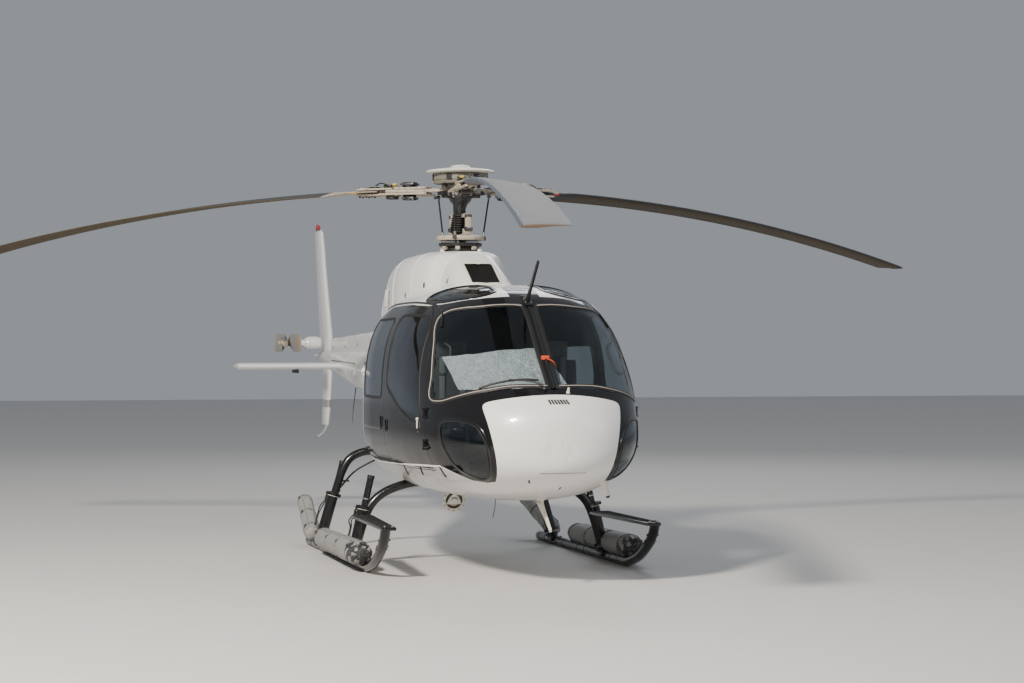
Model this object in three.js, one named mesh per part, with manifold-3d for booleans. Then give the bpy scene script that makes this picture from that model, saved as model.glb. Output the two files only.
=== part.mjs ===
// Light single engine helicopter, parked on high skids with stowed float bags.
// Millimetres. The nose points to -Y, starboard is -X, up is +Z.
// Heights below are from the ground, and Y is from the rotor mast. The origin is
// the centre of the cargo hook plate's lower face, under the mast.

import * as THREE from "three";
import { mergeVertices } from "three/addons/utils/BufferGeometryUtils.js";
import Module from "manifold-3d";

const wasm = await Module();
wasm.setup();

// Driving dimensions
const GROUND_TO_PLATE = 488;
const SKIN = 26;
const GLASS = 6;
const SLIT = 0.35;
const DOOR_GAP = 6;
const SIDES = 8;
const HULL_POINTS = 24;
const LINING_POINTS = 16;

const ROTOR_RADIUS = 5345;
const ROTOR_CHORD = 350;
const STAR_HEIGHT = 3110;
const BLADE_ROOT = 640;
const BLADE_DROOP = 570;
const BLADE_ANGLES = [262.1, 142.1, 22.1];

const TAIL_ROTOR_RADIUS = 930;
const TAIL_ROTOR_CHORD = 205;
const TAIL_ROTOR_Y = 6665;
const TAIL_ROTOR_Z = 1785;
const TAIL_ROTOR_X = -454;

const MAST_RADIUS = 48;
const HEAD_TOP = 3160;
const GEARBOX_TOP = 2480;
const FLOOR_TOP = 797;

const GROUND = -65;
const SKID_X = 1090;
const SKID_RADIUS = 40;
const FRONT_LEG_Y = -730;
const REAR_LEG_Y = 900;

// Manifold helpers
function solid(geometry) {
  const g = geometry.clone();
  g.deleteAttribute("normal");
  g.deleteAttribute("uv");
  const m = mergeVertices(g, 1e-3);
  const made = new wasm.Manifold(
    new wasm.Mesh({
      numProp: 3,
      vertProperties: new Float32Array(m.attributes.position.array),
      triVerts: new Uint32Array(m.index.array),
    }),
  );
  return made;
}

function join(...list) {
  return list.reduce((a, b) => a.add(b));
}

function cut(a, ...list) {
  return list.reduce((x, b) => x.subtract(b), a);
}

function toGeometry(m) {
  const mesh = m.getMesh();
  const n = mesh.numProp;
  const p = new Float32Array(mesh.numVert * 3);
  for (let i = 0; i < mesh.numVert; i++) {
    p.set(mesh.vertProperties.subarray(i * n, i * n + 3), i * 3);
  }
  const g = new THREE.BufferGeometry();
  g.setAttribute("position", new THREE.BufferAttribute(p, 3));
  g.setIndex(new THREE.BufferAttribute(new Uint32Array(mesh.triVerts), 1));
  const flat = g.toNonIndexed();
  flat.computeVertexNormals();
  return flat;
}

function biggest(m) {
  return m.decompose().reduce((a, b) => (b.volume() > a.volume() ? b : a));
}

// A box by its limits
function block(x0, x1, y0, y1, z0, z1) {
  const g = new THREE.BoxGeometry(x1 - x0, y1 - y0, z1 - z0);
  g.translate((x0 + x1) / 2, (y0 + y1) / 2, (z0 + z1) / 2);
  return solid(g);
}

// A box with its vertical edges rounded
function softBlock(x0, x1, y0, y1, z0, z1, r) {
  const s = new THREE.Shape();
  s.moveTo(x0 + r, y0);
  s.lineTo(x1 - r, y0);
  s.quadraticCurveTo(x1, y0, x1, y0 + r);
  s.lineTo(x1, y1 - r);
  s.quadraticCurveTo(x1, y1, x1 - r, y1);
  s.lineTo(x0 + r, y1);
  s.quadraticCurveTo(x0, y1, x0, y1 - r);
  s.lineTo(x0, y0 + r);
  s.quadraticCurveTo(x0, y0, x0 + r, y0);
  const g = new THREE.ExtrudeGeometry(s, { depth: z1 - z0, bevelEnabled: false, curveSegments: 2 });
  g.translate(0, 0, z0);
  return solid(g);
}

// A cylinder between two points, with a radius at each end
function rod(a, b, r0, r1 = r0, sides = SIDES) {
  const p = new THREE.Vector3(...a);
  const q = new THREE.Vector3(...b);
  const along = q.clone().sub(p);
  const g = new THREE.CylinderGeometry(r1, r0, along.length(), sides);
  g.translate(0, along.length() / 2, 0);
  const turn = new THREE.Quaternion();
  turn.setFromUnitVectors(new THREE.Vector3(0, 1, 0), along.clone().normalize());
  g.applyQuaternion(turn);
  g.translate(p.x, p.y, p.z);
  return solid(g);
}

// The same rod, larger all round by grow
function grownRod(a, b, r0, r1, sides, grow) {
  const p = new THREE.Vector3(...a);
  const q = new THREE.Vector3(...b);
  const d = q.clone().sub(p).normalize().multiplyScalar(grow);
  return rod(p.sub(d).toArray(), q.add(d).toArray(), r0 + grow, r1 + grow, sides);
}

// A turned piece: profile of [radius, along], its axis from point a along direction d
function turned(profile, a, d, sides = 20) {
  const g = new THREE.LatheGeometry(
    profile.map(([r, h]) => new THREE.Vector2(r, h)),
    sides,
  );
  const turn = new THREE.Quaternion();
  turn.setFromUnitVectors(new THREE.Vector3(0, 1, 0), new THREE.Vector3(...d).normalize());
  g.applyQuaternion(turn);
  g.translate(...a);
  const m = solid(g);
  return m.volume() < 0 ? solid(flipped(g)) : m;
}

function flipped(g) {
  const f = g.clone();
  const i = f.index.array;
  for (let k = 0; k < i.length; k += 3) {
    const t = i[k + 1];
    i[k + 1] = i[k + 2];
    i[k + 2] = t;
  }
  return f;
}

// A bent tube through points
function tube(points, r, sides = SIDES, steps = 14) {
  const path = new THREE.CatmullRomCurve3(
    points.map((p) => new THREE.Vector3(...p)),
    false,
    "centripetal",
  );
  const s = new THREE.Shape();
  for (let i = 0; i < sides; i++) {
    const a = (2 * Math.PI * (i + 0.5)) / sides;
    const x = r * Math.cos(a);
    const y = r * Math.sin(a);
    if (i === 0) s.moveTo(x, y);
    else s.lineTo(x, y);
  }
  s.closePath();
  return solid(new THREE.ExtrudeGeometry(s, { steps, extrudePath: path, bevelEnabled: false }));
}

// A polygon moved outwards by d along its edges
function grownOutline(points, d) {
  const area = points.reduce((s, [x, y], i) => {
    const [u, v] = points[(i + 1) % points.length];
    return s + x * v - u * y;
  }, 0);
  const turn = area > 0 ? 1 : -1;
  return points.map(([x, y], i) => {
    const [px, py] = points[(i + points.length - 1) % points.length];
    const [nx, ny] = points[(i + 1) % points.length];
    const a = new THREE.Vector2(x - px, y - py).normalize();
    const b = new THREE.Vector2(nx - x, ny - y).normalize();
    const na = new THREE.Vector2(a.y, -a.x);
    const nb = new THREE.Vector2(b.y, -b.x);
    const m = na.clone().add(nb).normalize();
    const k = (turn * d) / Math.max(0.5, m.dot(na));
    return [x + m.x * k, y + m.y * k];
  });
}

// An outline with each corner replaced by a short curve
function rounded(points, r, n = 3) {
  const out = [];
  points.forEach(([x, y], i) => {
    const p = new THREE.Vector2(x, y);
    const q0 = new THREE.Vector2(...points[(i + points.length - 1) % points.length]);
    const q1 = new THREE.Vector2(...points[(i + 1) % points.length]);
    const a = q0.clone().sub(p);
    const b = q1.clone().sub(p);
    const ra = Math.min(r, a.length() * 0.45);
    const rb = Math.min(r, b.length() * 0.45);
    const s = p.clone().add(a.normalize().multiplyScalar(ra));
    const e = p.clone().add(b.normalize().multiplyScalar(rb));
    for (let k = 0; k <= n; k++) {
      const t = k / n;
      const w0 = (1 - t) * (1 - t);
      const w1 = 2 * t * (1 - t);
      const w2 = t * t;
      out.push([w0 * s.x + w1 * p.x + w2 * e.x, w0 * s.y + w1 * p.y + w2 * e.y]);
    }
  });
  return out;
}

// A prism from an outline in the plane of axes u and v, swept along w
function prism(points, u, v, w, from, to) {
  const s = new THREE.Shape(points.map(([x, y]) => new THREE.Vector2(x, y)));
  const g = new THREE.ExtrudeGeometry(s, { depth: to - from, bevelEnabled: false });
  g.translate(0, 0, from);
  const m = new THREE.Matrix4().makeBasis(
    new THREE.Vector3(...u),
    new THREE.Vector3(...v),
    new THREE.Vector3(...w),
  );
  g.applyMatrix4(m);
  const turn = m.determinant() < 0;
  const n = turn ? mirroredSoup(g) : g;
  return solid(n);
}

function mirroredSoup(g) {
  const f = (g.index ? g.toNonIndexed() : g).clone();
  const p = f.attributes.position.array;
  for (let k = 0; k < p.length; k += 9) {
    for (let c = 0; c < 3; c++) {
      const t = p[k + 3 + c];
      p[k + 3 + c] = p[k + 6 + c];
      p[k + 6 + c] = t;
    }
  }
  return f;
}

function sidePrism(points, side, d = 0) {
  const outline = grownOutline(points, d);
  return side < 0
    ? prism(outline, [0, 1, 0], [0, 0, 1], [1, 0, 0], -1400, -250)
    : prism(outline, [0, 1, 0], [0, 0, 1], [1, 0, 0], 250, 1400);
}

function frontPrism(points, d, y0, y1) {
  return prism(grownOutline(points, d), [1, 0, 0], [0, 0, 1], [0, 1, 0], y0, y1);
}

function mirrored(m) {
  return m.mirror([1, 0, 0]);
}

// A skin lofted through closed rings of equal length, closed by flat ends
function loft(rings) {
  const n = rings[0].length;
  const pos = [];
  const idx = [];
  rings.forEach((ring) => ring.forEach((p) => pos.push(...p)));
  for (let k = 0; k + 1 < rings.length; k++) {
    for (let i = 0; i < n; i++) {
      const a = k * n + i;
      const b = k * n + ((i + 1) % n);
      const c = a + n;
      const d = b + n;
      idx.push(a, b, d, a, d, c);
    }
  }
  const ends = [0, rings.length - 1];
  ends.forEach((k) => {
    const mid = rings[k].reduce((s, p) => s.map((v, j) => v + p[j] / n), [0, 0, 0]);
    pos.push(...mid);
    const m = pos.length / 3 - 1;
    for (let i = 0; i < n; i++) {
      const a = k * n + i;
      const b = k * n + ((i + 1) % n);
      if (k === 0) idx.push(m, b, a);
      else idx.push(m, a, b);
    }
  });
  const g = new THREE.BufferGeometry();
  g.setAttribute("position", new THREE.Float32BufferAttribute(pos, 3));
  g.setIndex(idx);
  const made = solid(g);
  return made.volume() < 0 ? solid(flipped(g)) : made;
}

// A ring across Y: rounder or squarer above and below its widest height
function ring(y, w, zb, zm, zt, upper, lower, n = 32, x = 0) {
  const out = [];
  for (let i = 0; i < n; i++) {
    const a = (2 * Math.PI * i) / n;
    const c = Math.cos(a);
    const s = Math.sin(a);
    const e = s >= 0 ? upper : lower;
    const h = s >= 0 ? zt - zm : zm - zb;
    const px = w * Math.sign(c) * Math.pow(Math.abs(c), 2 / e);
    const pz = h * Math.sign(s) * Math.pow(Math.abs(s), 2 / e);
    out.push([x + px, y, zm + pz]);
  }
  return out;
}

// Fuselage stations, nose to tail boom root
const HULL = [
  { y: -3335, w: 40, zb: 930, zm: 1010, zt: 1080, upper: 2.0, lower: 2.0 },
  { y: -3318, w: 190, zb: 850, zm: 1010, zt: 1215, upper: 2.1, lower: 2.1 },
  { y: -3270, w: 330, zb: 790, zm: 1010, zt: 1300, upper: 2.2, lower: 2.2 },
  { y: -3180, w: 472, zb: 728, zm: 1020, zt: 1380, upper: 2.3, lower: 2.2 },
  { y: -3060, w: 595, zb: 672, zm: 1035, zt: 1475, upper: 2.3, lower: 2.2 },
  { y: -2900, w: 696, zb: 626, zm: 1050, zt: 1610, upper: 2.35, lower: 2.2 },
  { y: -2720, w: 768, zb: 592, zm: 1070, zt: 1775, upper: 2.45, lower: 2.2 },
  { y: -2520, w: 824, zb: 568, zm: 1085, zt: 1950, upper: 2.5, lower: 2.25 },
  { y: -2320, w: 858, zb: 553, zm: 1100, zt: 2098, upper: 2.65, lower: 2.3 },
  { y: -2100, w: 884, zb: 545, zm: 1110, zt: 2185, upper: 2.85, lower: 2.45 },
  { y: -1800, w: 906, zb: 535, zm: 1120, zt: 2228, upper: 3.1, lower: 2.6 },
  { y: -1300, w: 922, zb: 528, zm: 1130, zt: 2248, upper: 3.4, lower: 2.6 },
  { y: -700, w: 920, zb: 526, zm: 1130, zt: 2242, upper: 3.4, lower: 2.6 },
  { y: -100, w: 872, zb: 530, zm: 1140, zt: 2207, upper: 3.3, lower: 2.6 },
  { y: 400, w: 784, zb: 556, zm: 1170, zt: 2130, upper: 3.1, lower: 2.6 },
  { y: 900, w: 690, zb: 625, zm: 1210, zt: 2050, upper: 2.9, lower: 2.5 },
  { y: 1400, w: 588, zb: 765, zm: 1280, zt: 1970, upper: 2.6, lower: 2.4 },
  { y: 1900, w: 478, zb: 930, zm: 1360, zt: 1890, upper: 2.4, lower: 2.3 },
  { y: 2350, w: 372, zb: 1080, zm: 1410, zt: 1810, upper: 2.2, lower: 2.2 },
  { y: 2700, w: 290, zb: 1165, zm: 1440, zt: 1740, upper: 2.1, lower: 2.1 },
];
const CABIN_END = 330;
const HULL_END = 2700;

function hull(inset, count = HULL_POINTS) {
  const rings = HULL.map((s, k) => {
    const front = Math.max(0, Math.min(1, (-2500 - s.y) / 835));
    const w = Math.max(20, s.w - inset);
    const y = s.y + inset * front;
    return ring(y, w, s.zb + inset, s.zm, s.zt - inset, s.upper, s.lower, count);
  });
  return loft(rings);
}

const hullOut = hull(0);
const hullIn = hull(SKIN, LINING_POINTS);
const hullGlass = hull(GLASS);
const hullProud = hull(-SLIT);
const hullLining = hull(SKIN + SLIT, LINING_POINTS);

// Outlines of openings: side ones in Y and Z, front ones in X and Z
const FRONT_DOOR = rounded(
  [
    [-2430, 800],
    [-1240, 800],
    [-1240, 2060],
    [-1880, 2055],
    [-2085, 1950],
    [-2275, 1720],
    [-2440, 1420],
  ],
  70,
);
const FRONT_DOOR_GLASS = rounded(
  [
    [-2345, 1175],
    [-2180, 1150],
    [-1840, 1240],
    [-1330, 1430],
    [-1330, 1985],
    [-1960, 1985],
    [-2120, 1900],
  ],
  60,
);
const REAR_DOOR = rounded(
  [
    [-1205, 800],
    [-60, 800],
    [-60, 2040],
    [-1205, 2060],
  ],
  70,
);
const REAR_DOOR_GLASS = rounded(
  [
    [-1130, 1330],
    [-190, 1330],
    [-190, 1950],
    [-1130, 1970],
  ],
  70,
);
const HOLD_DOOR = rounded(
  [
    [480, 940],
    [1330, 1010],
    [1330, 1520],
    [480, 1520],
  ],
  50,
);
const HOLD_SWING_ROOM = rounded(
  [
    [1200, 1004],
    [1345, 1009],
    [1345, 1480],
    [1200, 1480],
  ],
  40,
);
const WINDSCREEN = rounded(
  [
    [22, 1445],
    [300, 1430],
    [530, 1395],
    [700, 1355],
    [800, 1322],
    [775, 1540],
    [730, 1760],
    [668, 1962],
    [590, 2012],
    [495, 2036],
    [380, 2052],
    [240, 2062],
    [22, 2068],
  ],
  30,
);
const SKYLIGHT = rounded(
  [
    [205, -1560],
    [205, -2110],
    [300, -2165],
    [420, -2140],
    [560, -1990],
    [625, -1790],
    [625, -1560],
  ],
  60,
);
// The chin window lies in the upright plane that faces 45 degrees out from the nose
const CHIN = rounded(
  [
    [1350, 1160],
    [1413, 1184],
    [1575, 1192],
    [1736, 1168],
    [1812, 1110],
    [1857, 1020],
    [1874, 917],
    [1853, 826],
    [1791, 768],
    [1718, 750],
    [1631, 770],
    [1527, 812],
    [1469, 872],
    [1405, 960],
    [1352, 1066],
  ],
  30,
);

const DIAGONAL = Math.SQRT1_2;
function chinPrism(side, d) {
  const made = prism(
    grownOutline(CHIN, d),
    [DIAGONAL, -DIAGONAL, 0],
    [0, 0, 1],
    [-DIAGONAL, -DIAGONAL, 0],
    600,
    3200,
  );
  const starboard = made.intersect(block(-1500, -200, -3500, -2300, 300, 1500));
  return side < 0 ? starboard : mirrored(starboard);
}

function windscreenPrism(side, d) {
  const made = frontPrism(WINDSCREEN, d, -3400, -1950);
  return side < 0 ? mirrored(made) : made;
}

function skylightPrism(side, d) {
  const made = prism(grownOutline(SKYLIGHT, d), [1, 0, 0], [0, 1, 0], [0, 0, 1], 1950, 2400);
  return side < 0 ? mirrored(made) : made;
}

// Skid gear
const LEGS = {
  front: {
    y: FRONT_LEG_Y,
    post: [925, 676],
    join: [990, 425],
    tube: [[0, 625], [350, 622], [560, 612], [700, 582], [830, 525], [925, 440], [985, 320], [1045, 120]],
  },
  rear: {
    y: REAR_LEG_Y,
    post: [871, 719],
    join: [955, 440],
    tube: [
      [0, 715], [260, 745], [450, 785], [594, 808], [720, 790], [819, 733], [885, 620], [925, 500], [1045, 120],
    ],
  },
};
const LEG_FOOT = { x: SKID_X - 12, z: GROUND + 82 };
const POST_RADIUS = 31;
const CROSS_TUBE_RADIUS = 37;

function crossTube(leg, grow) {
  const half = leg.tube.map(([x, z]) => [x, leg.y, z]);
  const other = half
    .slice(1)
    .reverse()
    .map(([x, y, z]) => [-x, y, z]);
  return tube([...other, ...half], CROSS_TUBE_RADIUS + grow, SIDES, 26);
}

function legFit(leg, side, grow) {
  const [joinX, joinZ] = leg.join;
  const [postX, postZ] = leg.post;
  const along = (t) => [
    side * (LEG_FOOT.x + (joinX - LEG_FOOT.x) * t),
    leg.y,
    LEG_FOOT.z + (joinZ - LEG_FOOT.z) * t,
  ];
  const clampRing = (t) => grownRod(along(t), along(t + 0.05), 56, 56, SIDES, grow);
  const sleeve = grownRod(along(0), along(1), 50, 48, SIDES, grow);
  const postFoot = [side * (joinX + 6), leg.y + 12, joinZ - 60];
  const post = grownRod(postFoot, [side * postX, leg.y + 12, postZ], POST_RADIUS, POST_RADIUS, 6, grow);
  return join(sleeve, post, clampRing(0.1), clampRing(0.93));
}

function gearTube(leg, grow) {
  return join(crossTube(leg, grow), legFit(leg, -1, grow), legFit(leg, 1, grow));
}

const SKID_LINE = [
  { y: 1410, rise: 0 },
  { y: 400, rise: 0 },
  { y: -700, rise: 0 },
  { y: -1330, rise: 0 },
  { y: -1480, rise: 12 },
  { y: -1750, rise: 78 },
  { y: -1980, rise: 185 },
  { y: -2110, rise: 285 },
  { y: -2165, rise: 372 },
];

function skidTube(side, grow) {
  const line = SKID_LINE.map(({ y, rise }) => [side * SKID_X, y, GROUND + SKID_RADIUS + rise]);
  const run = tube(line, SKID_RADIUS + grow, SIDES, 22);
  const shoe = (leg) => softBlock(
    side * (SKID_X - 4) - 60 - grow, side * (SKID_X - 4) + 60 + grow,
    leg.y - 110 - grow, leg.y + 110 + grow, GROUND + 30 - grow, GROUND + 81 + grow * 0.5, 20,
  );
  return join(run, shoe(LEGS.front), shoe(LEGS.rear));
}

// The step's outline from above, and the bar that carries it from the front leg
const STEP_TOP = 362;
const STEP_THICKNESS = 40;
const STEP_OUTLINE = [
  [930, -830],
  [1105, -830],
  [1128, -2205],
  [1012, -2205],
];

function step(side) {
  const outline = STEP_OUTLINE.map(([x, y]) => [side * x, y]);
  const plate = prism(outline, [1, 0, 0], [0, 1, 0], [0, 0, 1], STEP_TOP - STEP_THICKNESS, STEP_TOP);
  const barX = side * 1010;
  const bar = block(barX - 24, barX + 24, -840, FRONT_LEG_Y, STEP_TOP - 34, STEP_TOP - 4);
  return join(plate, bar);
}

// Stowed float bags lie over the skid tubes: middle line and radius at both ends
const FRONT_BAG = [
  { x: 1146, y: -1500, z: 86, r: 106 },
  { x: 1146, y: 420, z: 78, r: 90 },
];
const REAR_BAG = [
  { x: 1128, y: 1010, z: 52, r: 78 },
  { x: 1062, y: 1880, z: 318, r: 70 },
];

function bag(side, [front, back]) {
  const rows = [
    [0.0, 0.4], [0.03, 0.82], [0.12, 1.0], [0.5, 0.98], [0.88, 1.0], [0.97, 0.8], [1.0, 0.4],
  ];
  const rings = rows.map(([t, k]) => {
    const between = (name) => front[name] + (back[name] - front[name]) * t;
    const r = between("r") * k;
    const z = between("z");
    return ring(between("y"), r * 1.02, z - r, z, z + r, 2.2, 2.2, 12, side * between("x"));
  });
  return loft(rings);
}

// Cowlings over the gearbox and the engine
const COWL_FRONT = [
  { y: -1010, w: 300, zt: 2255, e: 3.0 },
  { y: -960, w: 305, zt: 2290, e: 3.2 },
  { y: -700, w: 292, zt: 2430, e: 3.4 },
  { y: -470, w: 285, zt: 2535, e: 3.4 },
  { y: -420, w: 300, zt: 2555, e: 3.2 },
  { y: -200, w: 380, zt: 2565, e: 3.0 },
  { y: 150, w: 440, zt: 2565, e: 2.9 },
  { y: 500, w: 462, zt: 2560, e: 2.8 },
  { y: 740, w: 465, zt: 2552, e: 2.8 },
];
const COWL_REAR = [
  { y: 746, w: 465, zt: 2552, e: 2.8 },
  { y: 1050, w: 455, zt: 2540, e: 2.7 },
  { y: 1400, w: 425, zt: 2505, e: 2.6 },
  { y: 1750, w: 375, zt: 2440, e: 2.5 },
  { y: 2050, w: 310, zt: 2350, e: 2.4 },
  { y: 2200, w: 262, zt: 2290, e: 2.3 },
];
const COWL_WALL = 12;

function cowlSolid(stations, inset) {
  const last = stations.length - 1;
  const rings = stations.map((s, k) => {
    const end = k === 0 ? inset : k === last ? -inset : 0;
    return ring(s.y + end, s.w - inset, 1500, 1900, s.zt - inset, s.e, 8, 20);
  });
  return loft(rings);
}

function cowlShell(stations) {
  const body = cut(cowlSolid(stations, 0), cowlSolid(stations, COWL_WALL));
  return biggest(cut(body, hullProud));
}

// External hinges: axis point, axis direction, direction to the frame, outward direction
const HINGE_STAND = 16;
function hinge(center, along, toFrame, out) {
  const place = (m) => m.transform(
    new THREE.Matrix4()
      .makeBasis(new THREE.Vector3(...toFrame), new THREE.Vector3(...out), new THREE.Vector3(...along))
      .setPosition(...center).elements,
  );
  const pin = rod([0, 0, -38], [0, 0, 38], 5, 5, 6);
  const flat = (points, z0, z1) => prism(points, [1, 0, 0], [0, 1, 0], [0, 0, 1], z0, z1);
  const leaf = [[-34, -40], [-6, -40], [-2, -6], [0, -5], [0, 5], [-6, 5], [-34, -10]];
  const lug = [[34, -40], [6, -40], [2, -9], [-7, -7], [-9, 0], [-7, 7], [4, 9], [34, -10]];
  const lugs = [[26, 40], [-40, -26]].map(([z0, z1]) => cut(
    flat(lug, z0, z1),
    rod([0, 0, z0 - 5], [0, 0, z1 + 5], 5.9, 5.9, 8),
  ));
  return { moving: place(join(pin, flat(leaf, -20, 20))), fixed: place(join(...lugs)) };
}

const FRONT_HINGE = { x: 853, y: -2443, heights: [1000, 1240] };
const HOLD_HINGE_STAND = 22;

function frontHinges(side) {
  return FRONT_HINGE.heights.map((z) =>
    hinge([side * FRONT_HINGE.x, FRONT_HINGE.y, z], [0, 0, 1], [0, -1, 0], [side, 0, 0]),
  );
}

// Half width of the hull's outer face at a place on its side
function sideAt(y, z) {
  const k = HULL.findIndex((h) => h.y > y);
  const a = HULL[k - 1];
  const b = HULL[k];
  const t = (y - a.y) / (b.y - a.y);
  const mix = (p) => a[p] + t * (b[p] - a[p]);
  const up = (z - mix("zm")) / (mix("zt") - mix("zm"));
  return mix("w") * Math.pow(1 - Math.pow(up, mix("upper")), 1 / mix("upper"));
}

const HOLD_TOP = 1520 + DOOR_GAP;
function holdAxis(side) {
  const a = new THREE.Vector3(side * (sideAt(480, HOLD_TOP) + HOLD_HINGE_STAND), 480, HOLD_TOP);
  const b = new THREE.Vector3(side * (sideAt(1330, HOLD_TOP) + HOLD_HINGE_STAND), 1330, HOLD_TOP);
  return { a, b, along: b.clone().sub(a).normalize() };
}

function holdHinges(side) {
  const { a, b, along } = holdAxis(side);
  const up = new THREE.Vector3(0, 0, 1);
  const out = new THREE.Vector3().crossVectors(along, up).multiplyScalar(side).normalize();
  return [0.18, 0.82].map((t) =>
    hinge(a.clone().lerp(b, t).toArray(), along.toArray(), up.toArray(), out.toArray()),
  );
}

// Materials
const MATERIALS = {
  white: { color: 0xe9e6de, roughness: 0.35, metalness: 0.0 },
  black: { color: 0x121314, roughness: 0.3, metalness: 0.0 },
  glass: { color: 0x1b2226, roughness: 0.08, metalness: 0.0 },
  dark: { color: 0x2a2b2d, roughness: 0.6, metalness: 0.0 },
  grey: { color: 0x9aa0a4, roughness: 0.5, metalness: 0.1 },
  beige: { color: 0xb9ad95, roughness: 0.55, metalness: 0.0 },
  steel: { color: 0x8c9094, roughness: 0.35, metalness: 0.9 },
  fabric: { color: 0x8f959b, roughness: 0.9, metalness: 0.0 },
  blade: { color: 0x83888d, roughness: 0.5, metalness: 0.0 },
};

const root = new THREE.Group();
root.name = "helicopter";
root.position.z = -GROUND_TO_PLATE;

function put(name, m, material) {
  const mesh = new THREE.Mesh(toGeometry(m), new THREE.MeshStandardMaterial(MATERIALS[material]));
  mesh.name = name;
  root.add(mesh);
  return m;
}

const frontTube = gearTube(LEGS.front, 0);
const rearTube = gearTube(LEGS.rear, 0);
const frontTubeRoom = gearTube(LEGS.front, SLIT);
const rearTubeRoom = gearTube(LEGS.rear, SLIT);
const tubeSlots = join(crossTube(LEGS.front, SLIT), crossTube(LEGS.rear, SLIT));

// Fuselage skin, cut into its panels
const skin = hullOut.subtract(hullIn);
const BOTH_SIDES = [-1, 1];
let cabinSkin = skin.intersect(block(-1200, 1200, -3500, CABIN_END, 300, 2600));
BOTH_SIDES.forEach((side) => {
  cabinSkin = cut(
    cabinSkin,
    sidePrism(FRONT_DOOR, side, DOOR_GAP),
    sidePrism(REAR_DOOR, side, SLIT),
    windscreenPrism(side, SLIT),
    chinPrism(side, SLIT),
    skylightPrism(side, SLIT),
  );
});
cabinSkin = cut(cabinSkin, tubeSlots);

const roofRoom = block(-1200, 1200, -2345, CABIN_END + 10, 2110, 2600);
const roofPart = block(-1200, 1200, -2345 + SLIT, CABIN_END + 10, 2110 + SLIT, 2600);
put("cabin_roof", biggest(cabinSkin.intersect(roofPart)), "white");
const frontLugs = BOTH_SIDES.flatMap((side) => frontHinges(side).map((h) => h.fixed));
put("cabin_shell", join(biggest(cut(cabinSkin, roofRoom)), ...frontLugs), "white");

// Floor inside the cabin and the bulkhead behind it
const floorPanel = hullLining.intersect(block(-1100, 1100, -2960, CABIN_END - 30, 775, FLOOR_TOP));
put("cabin_floor", biggest(floorPanel), "dark");
const bulkhead = cut(
  hullLining.intersect(block(-1100, 1100, CABIN_END - 26, CABIN_END - 4, 400, 2300)),
  rearTubeRoom,
);
put("cabin_bulkhead", biggest(bulkhead), "beige");

// Rear fuselage with its side holds
const rearBox = block(-1200, 1200, CABIN_END + SLIT, 2800, 300, 2600);
let rearSkin = cut(skin.intersect(rearBox), tubeSlots);
BOTH_SIDES.forEach((side) => {
  rearSkin = cut(rearSkin, sidePrism(HOLD_DOOR, side, DOOR_GAP), sidePrism(HOLD_SWING_ROOM, side));
});
const rearParts = join(
  rearSkin,
  hull(SKIN - 2).intersect(block(-1100, 1100, 1600, 1616, 400, 2300)),
  hull(SKIN - 2).intersect(block(-1100, 1100, CABIN_END + 2, 1602, 860, 880)),
);
const holdLugs = BOTH_SIDES.flatMap((side) => holdHinges(side).map((h) => h.fixed));
const rearOpen = biggest(cut(rearParts, block(-60, 60, 1590, 1630, 1000, 1100)));
put("rear_fuselage", join(rearOpen, ...holdLugs), "white");

const SIDE_WORDS = { "-1": "starboard", 1: "port" };
BOTH_SIDES.forEach((side) => {
  const word = SIDE_WORDS[side];
  const frame = skin.intersect(sidePrism(FRONT_DOOR, side));
  const frontLeaves = frontHinges(side).map((h) => h.moving);
  const frontDoor = biggest(cut(frame, sidePrism(FRONT_DOOR_GLASS, side)));
  put("door_front_" + word, join(frontDoor, ...frontLeaves), "black");
  const pane = hullOut.subtract(hullGlass);
  const inPane = (outline) => pane.intersect(sidePrism(outline, side, -SLIT));
  put("door_front_window_" + word, biggest(inPane(FRONT_DOOR_GLASS)), "glass");
  const slide = skin.intersect(sidePrism(REAR_DOOR, side));
  put("door_sliding_" + word, biggest(cut(slide, sidePrism(REAR_DOOR_GLASS, side))), "black");
  put("door_sliding_window_" + word, biggest(inPane(REAR_DOOR_GLASS)), "glass");
  const lid = skin.intersect(sidePrism(HOLD_DOOR, side));
  put("hold_door_" + word, join(biggest(lid), ...holdHinges(side).map((h) => h.moving)), "white");
  put("windscreen_" + word, biggest(pane.intersect(windscreenPrism(side, 0))), "glass");
  put("chin_window_" + word, biggest(pane.intersect(chinPrism(side, 0))), "glass");
  put("skylight_" + word, biggest(pane.intersect(skylightPrism(side, 0))), "glass");
});

// Cowlings, with the intake in the front face and the hole for the mast
const mastHole = rod([0, 0, 2400], [0, 0, 2700], 165, 165, 24);
const intakeFace = prism(
  [
    [-121, 2275],
    [121, 2275],
    [121, 2442],
    [-121, 2442],
  ],
  [1, 0, 0],
  [0, 0, 1],
  [0, 1, 0],
  -1100,
  -520,
);
const frontCowl = biggest(cut(cowlShell(COWL_FRONT), mastHole, intakeFace));
put("gearbox_cowling", frontCowl, "white");
const exhaustHole = rod([0, 1900, 2085], [0, 2400, 2140], 175, 175, 20);
put("engine_cowling", biggest(cut(cowlShell(COWL_REAR), exhaustHole)), "white");
const turbineOutlet = rod([0, 1625, 2080], [0, 1978, 2093], 95, 149, 20);
const exhaust = cut(
  rod([0, 1960, 2092], [0, 2480, 2149], 150, 158, 20),
  rod([0, 1990, 2095], [0, 2500, 2151], 142, 150, 20),
);
const engineEnd = block(-400, 400, 1500, 1640 + SLIT, 1900, 2400);
put("exhaust_pipe", cut(join(exhaust, turbineOutlet), hullProud, engineEnd), "steel");
put("engine", cut(block(-210, 210, 880, 1640, 2010, 2340), hullProud), "dark");
const mastSeat = rod([0, 0, 2430], [0, 0, 2500], MAST_RADIUS + 1, MAST_RADIUS + 1, 24);
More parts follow.
